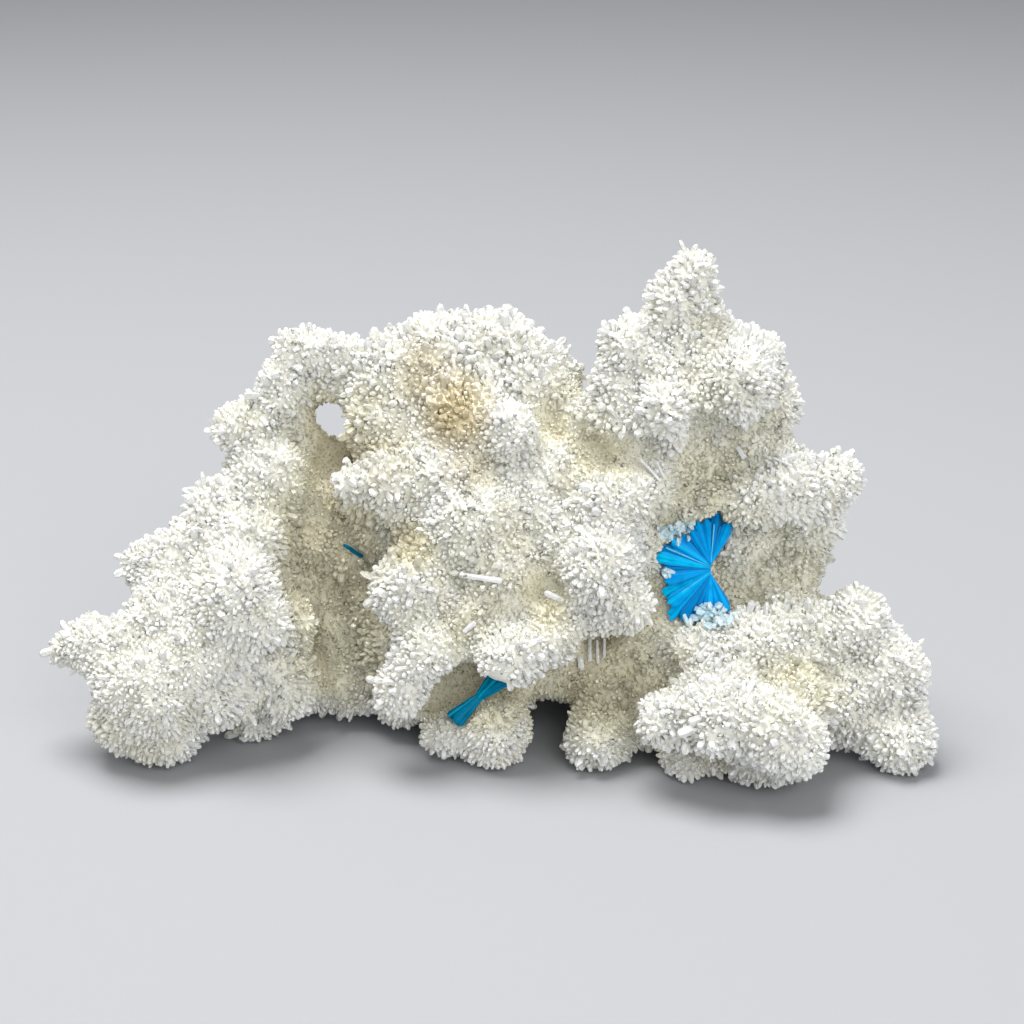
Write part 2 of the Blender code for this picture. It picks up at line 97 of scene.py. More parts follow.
floor_bm = bmesh.new()
bmesh.ops.create_grid(floor_bm, x_segments=1, y_segments=1, size=FLOOR_SIZE / 2)
floor = linked("floor", mesh_of(floor_bm, "floor"))
floor_paint = bpy.data.materials.new("floor paint")
floor_paint.use_nodes = True
floor_shader = floor_paint.node_tree.nodes["Principled BSDF"]
floor_shader.inputs["Base Color"].default_value = (*FLOOR_GREY, 1.0)
floor_shader.inputs["Roughness"].default_value = FLOOR_ROUGHNESS
floor.data.materials.append(floor_paint)

# %% Light
SKY_GREY = (0.84, 0.85, 0.86)
SKY_STRENGTH = 0.5


def soft_light(name, place, size, power, tint):
    data = bpy.data.lights.new(name, "AREA")
    data.shape = "DISK"
    data.size = size
    data.energy = power
    data.color = tint
    lamp = linked(name, data)
    lamp.location = place
    lamp.rotation_euler = (CAMERA_TARGET - Vector(place)).to_track_quat("-Z", "Y").to_euler()
    return lamp


soft_light("key", (-0.16, 0.04, 0.80), 0.55, 9.0, (1.0, 0.99, 0.97))
soft_light("fill", (0.32, -0.75, 0.45), 0.8, 4.6, (1.0, 1.0, 1.0))
world = bpy.data.worlds.new("studio")
world.use_nodes = True
background = world.node_tree.nodes["Background"]
background.inputs["Color"].default_value = (*SKY_GREY, 1.0)
background.inputs["Strength"].default_value = SKY_STRENGTH
bpy.context.scene.world = world
bpy.context.scene.view_settings.view_transform = "Standard"

# %% [markdown]
# Every crystal and every blade is one closed low shape: a flat column with a blunt
# chamfered tip. A few templates are enough, because each copy gets its own size, turn and
# tint. All copies of a group are joined in one mesh's arrays, since a particle system or
# instances would be lost in an export.

# %% Crystal templates
def column(sides, root, top, height):
    """A closed column on the origin, from its width at the root to its width at the top."""
    bm = bmesh.new()
    bmesh.ops.create_cone(
        bm,
        cap_ends=True,
        segments=sides,
        radius1=root / 2,
        radius2=top / 2,
        depth=height,
        matrix=Matrix.Translation((0.0, 0.0, height / 2)),
    )
    return bm


def template_arrays(bm):
    bmesh.ops.triangulate(bm, faces=bm.faces)
    bmesh.ops.recalc_face_normals(bm, faces=bm.faces)
    corners = np.array([vert.co for vert in bm.verts])
    triangles = np.array([[vert.index for vert in face.verts] for face in bm.faces])
    bm.free()
    return corners, triangles


def grain_template(sides, root, top, slant):
    """A unit grain without a chamfer, for the fine crust in the hollows."""
    bm = column(sides, root, top, 1.0)
    for vert in bm.verts:
        vert.co.z += slant * vert.co.x * vert.co.z
    return template_arrays(bm)


def crystal_template(sides, root, taper, shoulder, tip_share, slant):
    """A unit crystal on the origin, 1 wide and 1 tall, with a chamfered slanting tip."""
    bm = column(sides, root, taper, shoulder)
    top = max(bm.faces, key=lambda face: face.calc_center_median().z)
    tip = bmesh.ops.extrude_discrete_faces(bm, faces=[top])["faces"][0]
    for vert in tip.verts:
        vert.co.xy *= tip_share
        vert.co.z = 1.0 + slant * vert.co.x
    return template_arrays(bm)


GRAIN = [
    grain_template(4, 1.1, 0.60, 0.3),
    grain_template(4, 1.1, 0.50, -0.4),
    grain_template(5, 1.1, 0.55, 0.4),
]
STUBBY = [
    crystal_template(4, 1.1, 1.00, 0.74, 0.55, 0.10),
    crystal_template(4, 1.1, 0.92, 0.66, 0.45, -0.16),
    crystal_template(5, 1.0, 1.00, 0.80, 0.60, 0.06),
    crystal_template(5, 1.0, 0.90, 0.66, 0.42, 0.15),
]
POINT = [
    crystal_template(6, 0.9, 1.00, 0.82, 0.52, 0.05),
    crystal_template(5, 0.9, 1.00, 0.76, 0.45, -0.08),
]
LONG = [
    crystal_template(6, 0.9, 1.00, 0.95, 0.55, 0.03),
    crystal_template(6, 0.8, 0.95, 0.92, 0.40, -0.05),
]
BLADE = [
    crystal_template(6, 0.25, 1.00, 0.94, 0.62, 0.02),
    crystal_template(6, 0.30, 0.95, 0.96, 0.50, -0.03),
]
NEEDLE = [
    crystal_template(6, 0.75, 1.00, 0.94, 0.60, 0.02),
    crystal_template(6, 0.80, 0.95, 0.96, 0.50, -0.03),
]
print("triangles of one stubby crystal", len(STUBBY[0][1]))

# %% Grow copies of the templates
MARK_NAMES = ("height", "tint", "cream_and_shade", "stain")


def unit(vectors):
    return vectors / np.linalg.norm(vectors, axis=1)[:, None]


def crystal_axes(normals, tilt, rng):
    """Three axes for each crystal: across, through and along, leaning off the normal."""
    along = unit(normals + rng.normal(0.0, 1.0, normals.shape) * np.asarray(tilt))
    across = unit(np.cross(along, rng.normal(0.0, 1.0, normals.shape)))
    return across, np.cross(along, across), along


def grow(templates, places, axes, sizes, kinds, marks):
    """Copies a template to every place. Sizes are across, through and along, in mm."""
    corners, triangles, values = [], [], []
    start = 0
    for kind, (shape, faces) in enumerate(templates):
        rows = np.flatnonzero(kinds == kind)
        made = np.repeat(places[rows, None, :], len(shape), axis=1)
        for part, (axis, size) in enumerate(zip(axes, sizes)):
            made += shape[None, :, part : part + 1] * (axis[rows] * size[rows, None])[:, None, :]
        corners.append(made.reshape(-1, 3) * MM)
        offsets = start + np.arange(len(rows)) * len(shape)
        triangles.append((faces[None, :, :] + offsets[:, None, None]).reshape(-1, 3))
        height = np.tile(shape[:, 2], len(rows))
        values.append(np.stack([height, *(np.repeat(m[rows], len(shape)) for m in marks)], axis=1))
        start += len(rows) * len(shape)
    return [np.concatenate(part) for part in (corners, triangles, values)]


def crystal_object(name, slot, material, corners, triangles, values):
    """One closed mesh of many crystals, flat-faced, with a mark for each of their points."""
    mesh = bpy.data.meshes.new(name)
    mesh.vertices.add(len(corners))
    mesh.vertices.foreach_set("co", corners.reshape(-1))
    mesh.loops.add(len(triangles) * 3)
    mesh.loops.foreach_set("vertex_index", triangles.reshape(-1))
    mesh.polygons.add(len(triangles))
    mesh.polygons.foreach_set("loop_start", np.arange(len(triangles)) * 3)
    mesh.update(calc_edges=True)
    mesh.shade_flat()
    for number, mark in enumerate(MARK_NAMES[: values.shape[1]]):
        layer = mesh.attributes.new(mark, "FLOAT", "POINT")
        layer.data.foreach_set("value", values[:, number])
    mesh.materials.append(material)
    obj = linked(name, mesh)
    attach(obj, "root")
    return obj


# %% [markdown]
# Colour comes from the base colour and noise. The marks on the crystals choose between a
# few tints of the same mineral, mixed with painted shade at the roots and in the hollows.
# Most of the stilbite is milky and lets little light through. Its larger points and its
# laths are clearer, under the same glassy gloss.

# %% Material helpers
def new_material(name):
    material = bpy.data.materials.new(name)
    material.use_nodes = True
    return material, material.node_tree.nodes, material.node_tree.links


def attribute(nodes, name):
    node = nodes.new("ShaderNodeAttribute")
    node.attribute_name = name
    return node.outputs["Fac"]


def mixed(nodes, links, factor, first, second):
    mix = nodes.new("ShaderNodeMix")
    mix.data_type = "RGBA"
    links.new(factor, mix.inputs["Factor"])
    for socket, value in ((mix.inputs["A"], first), (mix.inputs["B"], second)):
        if isinstance(value, tuple):
            socket.default_value = (*value, 1.0)
        else:
            links.new(value, socket)
    return mix.outputs["Result"]


def ranged(nodes, links, value, low, high, to_low, to_high):
    node = nodes.new("ShaderNodeMapRange")
    links.new(value, node.inputs["Value"])
    node.inputs["From Min"].default_value = low
    node.inputs["From Max"].default_value = high
    node.inputs["To Min"].default_value = to_low
    node.inputs["To Max"].default_value = to_high
    return node.outputs["Result"]


def noise_at(nodes, links, scale, detail=3.0):
    coordinates = nodes.new("ShaderNodeTexCoord")
    node = nodes.new("ShaderNodeTexNoise")
    node.inputs["Scale"].default_value = scale
    node.inputs["Detail"].default_value = detail
    links.new(coordinates.outputs["Object"], node.inputs["Vector"])
    return node.outputs["Fac"]


def bumped(nodes, links, height, shader, strength, distance):
    bump = nodes.new("ShaderNodeBump")
    bump.inputs["Strength"].default_value = strength
    bump.inputs["Distance"].default_value = distance
    links.new(height, bump.inputs["Height"])
    links.new(bump.outputs["Normal"], shader.inputs["Normal"])


# %% Stilbite crystals
WHITE = (0.94, 0.945, 0.93)
GREY_WHITE = (0.87, 0.875, 0.845)
# The cream is partly the mineral's own tint and partly painted shade in the hollows. The deeper
# colour after it is painted shade, in the deepest hollows and under the overhangs.
CREAM_AND_SHADE = (0.77, 0.745, 0.60)
DEEP_SHADE = (0.68, 0.635, 0.475)
OCHRE = (0.62, 0.53, 0.32)
SHADE_SPECK = (0.16, 0.16, 0.10)
# Darker cream at the crystals' roots: partly their milky roots, partly painted shade between the
# crystals.
ROOT_TINT_AND_SHADE = (0.86, 0.85, 0.77)


# Dark specks in patches: painted shade in tiny gaps between the crystals.
SPECK_NOISE = 1250.0
SPECK_CUT = (0.63, 0.66)
SPECKLED_AREAS = 170.0
SPECKLED_CUT = (0.48, 0.56)
SPECK_STRENGTH = 0.75


def crusted(nodes, links, plain):
    """Cream tint and painted shade in the hollows, deeper painted shade in the deepest, ochre
    where stained, and dark specks of painted shade in tiny gaps.
    """
    cream_and_shade = attribute(nodes, "cream_and_shade")
    light = mixed(nodes, links, ranged(nodes, links, cream_and_shade, 0.0, 0.5, 0.0, 1.0), plain, CREAM_AND_SHADE)
    deep = mixed(nodes, links, ranged(nodes, links, cream_and_shade, 0.5, 1.0, 0.0, 1.0), light, DEEP_SHADE)
    stained = mixed(nodes, links, attribute(nodes, "stain"), deep, OCHRE)
    fine, coarse = (noise_at(nodes, links, scale, 2.0) for scale in (SPECK_NOISE, SPECKLED_AREAS))
    small = ranged(nodes, links, fine, *SPECK_CUT, 0.0, 1.0)
    where = ranged(nodes, links, coarse, *SPECKLED_CUT, 0.0, SPECK_STRENGTH)
    both = nodes.new("ShaderNodeMath")
    both.operation = "MULTIPLY"
    links.new(small, both.inputs[0])
    links.new(where, both.inputs[1])
    return mixed(nodes, links, both.outputs["Value"], stained, SHADE_SPECK)


def grains_at(nodes, links, scale):
    """Rounded grains with creases between them, highest in the middle of each."""
    coordinates = nodes.new("ShaderNodeTexCoord")
    cells = nodes.new("ShaderNodeTexVoronoi")
    cells.inputs["Scale"].default_value = scale
    links.new(coordinates.outputs["Object"], cells.inputs["Vector"])
    return ranged(nodes, links, cells.outputs["Distance"], 0.0, 1.0, 1.0, 0.0)


STILBITE_IOR = 1.5
GLOSS = 0.4
GLOSS_ROUGHNESS = 0.06
ROUGHNESS = (0.05, 0.22)
SKIN_ROUGHNESS = (0.35, 0.7)
BUMP_STRENGTH = 0.5
BUMP_DEPTH = 0.0002
MILKY = 0.08
SLIGHTLY_CLEAR = 0.12
CLEAR = 0.30


def crystal_material(name, root, greyest, whitest, clearness):
    material, nodes, links = new_material(name)
    shader = nodes["Principled BSDF"]
    tinted = mixed(nodes, links, attribute(nodes, "tint"), greyest, whitest)
    # Each crystal goes to the root colour at its foot; on the milky crust that is painted shade
    # between the crystals as well as milky roots.
    height = ranged(nodes, links, attribute(nodes, "height"), 0.35, 0.85, 0.0, 1.0)
    risen = mixed(nodes, links, height, root, tinted)
    links.new(crusted(nodes, links, risen), shader.inputs["Base Color"])
    fine = noise_at(nodes, links, 2600.0)
    links.new(ranged(nodes, links, fine, 0.3, 0.7, *ROUGHNESS), shader.inputs["Roughness"])
    shader.inputs["Coat Weight"].default_value = GLOSS
    shader.inputs["Coat Roughness"].default_value = GLOSS_ROUGHNESS
    shader.inputs["IOR"].default_value = STILBITE_IOR
    shader.inputs["Transmission Weight"].default_value = clearness
    bumped(nodes, links, grains_at(nodes, links, 2000.0), shader, BUMP_STRENGTH, BUMP_DEPTH)
    return material


CLEAREST = (0.99, 1.0, 1.0)
PALE_BLUE = (0.62, 0.85, 0.95)
BLUISH_WHITE = (0.86, 0.95, 0.98)
crystal_look = crystal_material("stilbite crystal", ROOT_TINT_AND_SHADE, GREY_WHITE, WHITE, MILKY)
point_look = crystal_material("stilbite clear point", WHITE, WHITE, WHITE, CLEAR)
lath_look = crystal_material("stilbite lath", CLEAREST, CLEAREST, CLEAREST, CLEAR)
bluish_look = crystal_material(
    "stilbite over cavansite", PALE_BLUE, PALE_BLUE, BLUISH_WHITE, SLIGHTLY_CLEAR
)

# %% Stilbite between the crystals
# The skin is darker than the crystals: painted shade in the gaps between them, in a random tone
# from the noise.
SHADED_SKIN_CREAM = (0.78, 0.77, 0.69)
SHADED_SKIN_WHITE = (0.86, 0.85, 0.78)


def skin_material():
    material, nodes, links = new_material("stilbite between the crystals")
    shader = nodes["Principled BSDF"]
    plain = mixed(nodes, links, noise_at(nodes, links, 260.0), SHADED_SKIN_CREAM, SHADED_SKIN_WHITE)
    links.new(crusted(nodes, links, plain), shader.inputs["Base Color"])
    fine = grains_at(nodes, links, 1600.0)
    links.new(ranged(nodes, links, fine, 0.3, 0.7, *SKIN_ROUGHNESS), shader.inputs["Roughness"])
    bumped(nodes, links, fine, shader, BUMP_STRENGTH, BUMP_DEPTH)
    return material


skin_look = skin_material()

# %% Cavansite
AZURE = (0.0, 0.38, 0.87)
# On the half rosette the cyan end is painted highlight along the middle of each pleat and the deep
# end painted shade in the grooves; each pleat's own tone is random.
CYAN = (0.0, 0.60, 0.98)
DEEP = (0.0, 0.20, 0.52)
# Painted highlight colour of the thin ridge blades
GLINT = (0.22, 0.80, 1.0)
TEAL = (0.0, 0.20, 0.37)
LIGHT_TEAL = (0.0, 0.34, 0.52)
DARK_TEAL = (0.0, 0.10, 0.17)
CAVANSITE_IOR = 1.54
CAVANSITE_GLOSS = 0.05
CAVANSITE_ROUGHNESS = (0.10, 0.28)


def blue_material(name, main, light, deep):
    """Deep to light by each blade's tint, the painted highlight colour where the tint is over 1,
    with dark streaks.
    """
    material, nodes, links = new_material(name)
    shader = nodes["Principled BSDF"]
    tint = attribute(nodes, "tint")
    lower = mixed(nodes, links, ranged(nodes, links, tint, 0.0, 0.45, 0.0, 1.0), deep, main)
    upper = mixed(nodes, links, ranged(nodes, links, tint, 0.55, 1.0, 0.0, 1.0), lower, light)
    glinting = ranged(nodes, links, tint, 1.0, 1.5, 0.0, 1.0)
    upper = mixed(nodes, links, glinting, upper, GLINT)
    streaks = noise_at(nodes, links, 900.0, 4.0)
    shaded = mixed(nodes, links, ranged(nodes, links, streaks, 0.35, 0.6, 0.0, 1.0), deep, upper)
    eased = mixed(nodes, links, ranged(nodes, links, streaks, 0.2, 0.8, 0.5, 0.9), shaded, upper)
    links.new(eased, shader.inputs["Base Color"])
    rough = ranged(nodes, links, streaks, 0.3, 0.7, *CAVANSITE_ROUGHNESS)
    links.new(rough, shader.inputs["Roughness"])
    shader.inputs["IOR"].default_value = CAVANSITE_IOR
    shader.inputs["Specular IOR Level"].default_value = CAVANSITE_GLOSS
    bumped(nodes, links, streaks, shader, 0.3, 0.0001)
    return material


azure_look = blue_material("cavansite azure", AZURE, CYAN, DEEP)
teal_look = blue_material("cavansite teal", TEAL, LIGHT_TEAL, DARK_TEAL)
print("materials", [material.name for material in bpy.data.materials])

# %% [markdown]
# The half rosette is pleated: every pleat is a bundle of thin blades that start at the hub.
# The middle blade of a pleat is the longest and stands highest, so the edge is toothed and
# the face has grooves. Directions and lengths of the pleats follow the outline in the photo.

# %% Half rosette
FAN_HUB = np.array((28.7, -7.2, 25.2))
FAN_LEAN = math.radians(-20.0)
FAN_PLEATS = [
    (66, 6.0), (83, 6.8), (97, 5.9), (108, 5.8), (121, 5.3), (134, 5.4), (147, 6.4),
    (159, 6.9), (168, 7.6), (180, 6.6), (192, 6.4), (206, 7.0), (217, 7.1), (228, 8.0),
    (238, 7.3), (250, 6.8), (266, 6.1), (282, 5.8), (294, 5.5),
]
PLEAT_BLADES = 9
PLEAT_WIDTH = math.radians(13.5)
PLEAT_RISE = math.radians(7.0)
PLEAT_DEPTH = math.radians(3.0)
PLEAT_FALL = 0.13
# Turn, length and tint of the thin ridge blades painted as highlight lines
GLINT_RIDGES = [(157, 6.5, 1.5), (86, 5.2, 1.4), (214, 4.6, 1.2)]
RIDGE_RISE = math.radians(1.0)
RIDGE_WIDTH = 0.24
FAN_LAYERS = 2
HUB_HALF_LENGTH = 0.8
FAN_BLADE_SIZE = ((0.40, 0.70), (0.25, 0.45))
BLADE_ROLL = 0.35
BLADE_LENGTH = (0.94, 1.01)
TURN_SPREAD = 0.012
LAYER_DROP = math.radians(9.0)
LAYER_SHORTER = 0.12
PLEAT_TINT = (0.50, 0.24)
# Blades at the sides of a pleat are darker: painted shade in the grooves between pleats.
GROOVE_SHADE = 0.25
TINT_SPREAD = 0.10


def turned_x(vectors, angle):
    x, y, z = vectors.T
    cos, sin = math.cos(angle), math.sin(angle)
    return np.stack([x, y * cos - z * sin, y * sin + z * cos], axis=1)


def blade_axes(turns, depths, rolls):
    """Axes of blades that lie near the X-Z plane, turned there and raised towards -Y."""
    zero = np.zeros(len(turns))
    along = np.stack(
        [np.cos(turns) * np.cos(depths), -np.sin(depths), np.sin(turns) * np.cos(depths)], axis=1
    )
    side = np.stack([-np.sin(turns), zero, np.cos(turns)], axis=1)
    through = np.cross(along, side)
    cos, sin = np.cos(rolls)[:, None], np.sin(rolls)[:, None]
    return side * cos + through * sin, through * cos - side * sin, along


def fan_blades(rng):
    """Turn, rise, roll, length and tint of every blade. A tint over 1 is a ridge blade with a
    painted highlight.
    """
    rows = []
    for layer in range(FAN_LAYERS):
        for number, (turn, length) in enumerate(FAN_PLEATS):
            pleat_tint = rng.normal(*PLEAT_TINT)
            pleat_rise = rng.normal(0.0, PLEAT_DEPTH / 2) + (-1) ** number * PLEAT_DEPTH
            for share in np.linspace(-1.0, 1.0, PLEAT_BLADES):
                turned = math.radians(turn) + share * PLEAT_WIDTH / 2
                turned += rng.normal(0.0, TURN_SPREAD)
                rise = PLEAT_RISE * (0.5 - abs(share)) + pleat_rise
                rise -= layer * LAYER_DROP
                reach = length * (1.0 - PLEAT_FALL * abs(share) ** 2) * rng.uniform(*BLADE_LENGTH)
                reach *= 1.0 - LAYER_SHORTER * layer
                tint = pleat_tint - GROOVE_SHADE * abs(share) + rng.normal(0.0, TINT_SPREAD)
                rows.append((turned, rise, share * BLADE_ROLL, reach, min(max(tint, 0.0), 1.0)))
    for turn, length, width in GLINT_RIDGES:
        rows.append((math.radians(turn), PLEAT_RISE + RIDGE_RISE, 0.0, length, width))
    return np.array(rows)


fan_rng = np.random.default_rng(2)
turns, rises, rolls, lengths, tints = fan_blades(fan_rng).T
fan_axes = [turned_x(axis, FAN_LEAN) for axis in blade_axes(turns, rises, rolls)]
fan_sizes = [fan_rng.uniform(*size, len(turns)) for size in FAN_BLADE_SIZE] + [lengths]
fan_sizes[0][-len(GLINT_RIDGES) :] = RIDGE_WIDTH
fan_places = FAN_HUB + np.stack([turns * 0, turns * 0, np.sin(turns) * HUB_HALF_LENGTH], axis=1)
fan_kinds = fan_rng.integers(0, len(BLADE), len(turns))
fan = crystal_object(
    "cavansite_fan_blades",
    "cavansite",
    azure_look,
    *grow(BLADE, fan_places, fan_axes, fan_sizes, fan_kinds, (tints,)),
)
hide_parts("cavansite_fan")
print("blades of the half rosette", len(turns))

# %% [markdown]
# The sheaf is tied-looking at its waist and opens to both ends. Its upper end is forked:
# two bundles lean apart. The splinter is three thin needles side by side.

# %% Sheaf
SHEAF_WAIST = np.array((-1.5, -13.8, 9.9))
SHEAF_DIRECTION = Vector((0.69, 0.22, 0.60)).normalized()
LOWER_LENGTH = 4.9
UPPER_LENGTH = 4.5
SHEAF_NEEDLES = 40
WAIST_RADIUS = 0.42
LOWER_OPENING = 0.17
UPPER_OPENING = 0.20
FORK = 0.05
SHEAF_NEEDLE_SIZE = ((0.45, 0.65), (0.40, 0.60))
SHEAF_LENGTH_SHARE = (0.92, 1.0)
SHEAF_OVERLAP = 0.3


def sheaf_needles(rng):
    """Start and direction of each needle: it opens outwards by how far out it starts."""
    forward = np.array(SHEAF_DIRECTION)
    sideways = unit(np.cross(forward, np.array(back_to_camera))[None, :])[0]
    facing = np.cross(sideways, forward)
    starts, directions = [], []
    for number in range(SHEAF_NEEDLES):
        turn, out = rng.uniform(0.0, 2.0 * math.pi), math.sqrt(rng.uniform(0.0, 1.0))
        outward = sideways * math.cos(turn) * out + facing * math.sin(turn) * out
        fork = FORK if math.cos(turn) > 0.0 else -FORK
        starts += [outward * WAIST_RADIUS] * 2
        directions.append(-forward + outward * LOWER_OPENING)
        directions.append(forward + outward * UPPER_OPENING + sideways * fork)
    return SHEAF_WAIST + np.array(starts), unit(np.array(directions))


sheaf_rng = np.random.default_rng(4)
sheaf_places, sheaf_along = sheaf_needles(sheaf_rng)
count = len(sheaf_along)
sheaf_across = unit(np.cross(sheaf_along, sheaf_rng.normal(0.0, 1.0, (count, 3))))
sheaf_axes = (sheaf_across, np.cross(sheaf_along, sheaf_across), sheaf_along)
sheaf_sizes = [sheaf_rng.uniform(*size, count) for size in SHEAF_NEEDLE_SIZE]
sheaf_lengths = np.tile((LOWER_LENGTH, UPPER_LENGTH), SHEAF_NEEDLES)
sheaf_sizes.append(sheaf_lengths * sheaf_rng.uniform(*SHEAF_LENGTH_SHARE, count))
sheaf_tints = np.clip(sheaf_rng.normal(0.5, 0.2, count), 0.0, 1.0)
sheaf_kinds = sheaf_rng.integers(0, len(NEEDLE), count)
sheaf_places = sheaf_places - sheaf_along * SHEAF_OVERLAP
sheaf = crystal_object(
    "cavansite_sheaf_needles",
    "cavansite",
    teal_look,
    *grow(NEEDLE, sheaf_places, sheaf_axes, sheaf_sizes, sheaf_kinds, (sheaf_tints,)),
)
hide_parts("cavansite_bow_tie")
print("needles of the sheaf", count)

# %% Splinter
SPLINTER_MIDDLE = np.array((-18.3, -1.6, 25.6))
SPLINTER_DIRECTION = np.array((0.75, 0.1, -0.6))
SPLINTER_LENGTHS = np.array((3.1, 2.5, 1.9))
SPLINTER_SIZE = (0.48, 0.40)
SPLINTER_TINTS = np.array((0.35, 0.15, 0.5))
SPLINTER_STARTS = np.array(((0.0, 0.0, 0.0), (0.05, -0.12, 0.14), (0.0, 0.1, -0.13)))

splinter_along = unit(np.tile(-SPLINTER_DIRECTION, (3, 1)))
splinter_across = unit(np.cross(splinter_along, np.array(back_to_camera)))
splinter_axes = (splinter_across, np.cross(splinter_along, splinter_across), splinter_along)
splinter_places = SPLINTER_MIDDLE + SPLINTER_STARTS - splinter_along * SPLINTER_LENGTHS[0] / 2
splinter = crystal_object(
    "cavansite_splinter_needles",
    "cavansite",
    teal_look,
    *grow(
        NEEDLE,
        splinter_places,
        splinter_axes,
        [*(np.full(3, size) for size in SPLINTER_SIZE), SPLINTER_LENGTHS],
        np.array((0, 1, 0)),
        (SPLINTER_TINTS,),
    ),
)
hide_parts("cavansite_sliver")

# %% [markdown]
# The white cluster is made of knobs that ran into each other as they grew. Each knob is a
# ball with smaller buds on it and a stalk back to the middle of its group. The same places
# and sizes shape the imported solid, so the fine surface stays on it. Balls are quick to
# move one by one until the outline matches, which a sculpted mesh isn't.

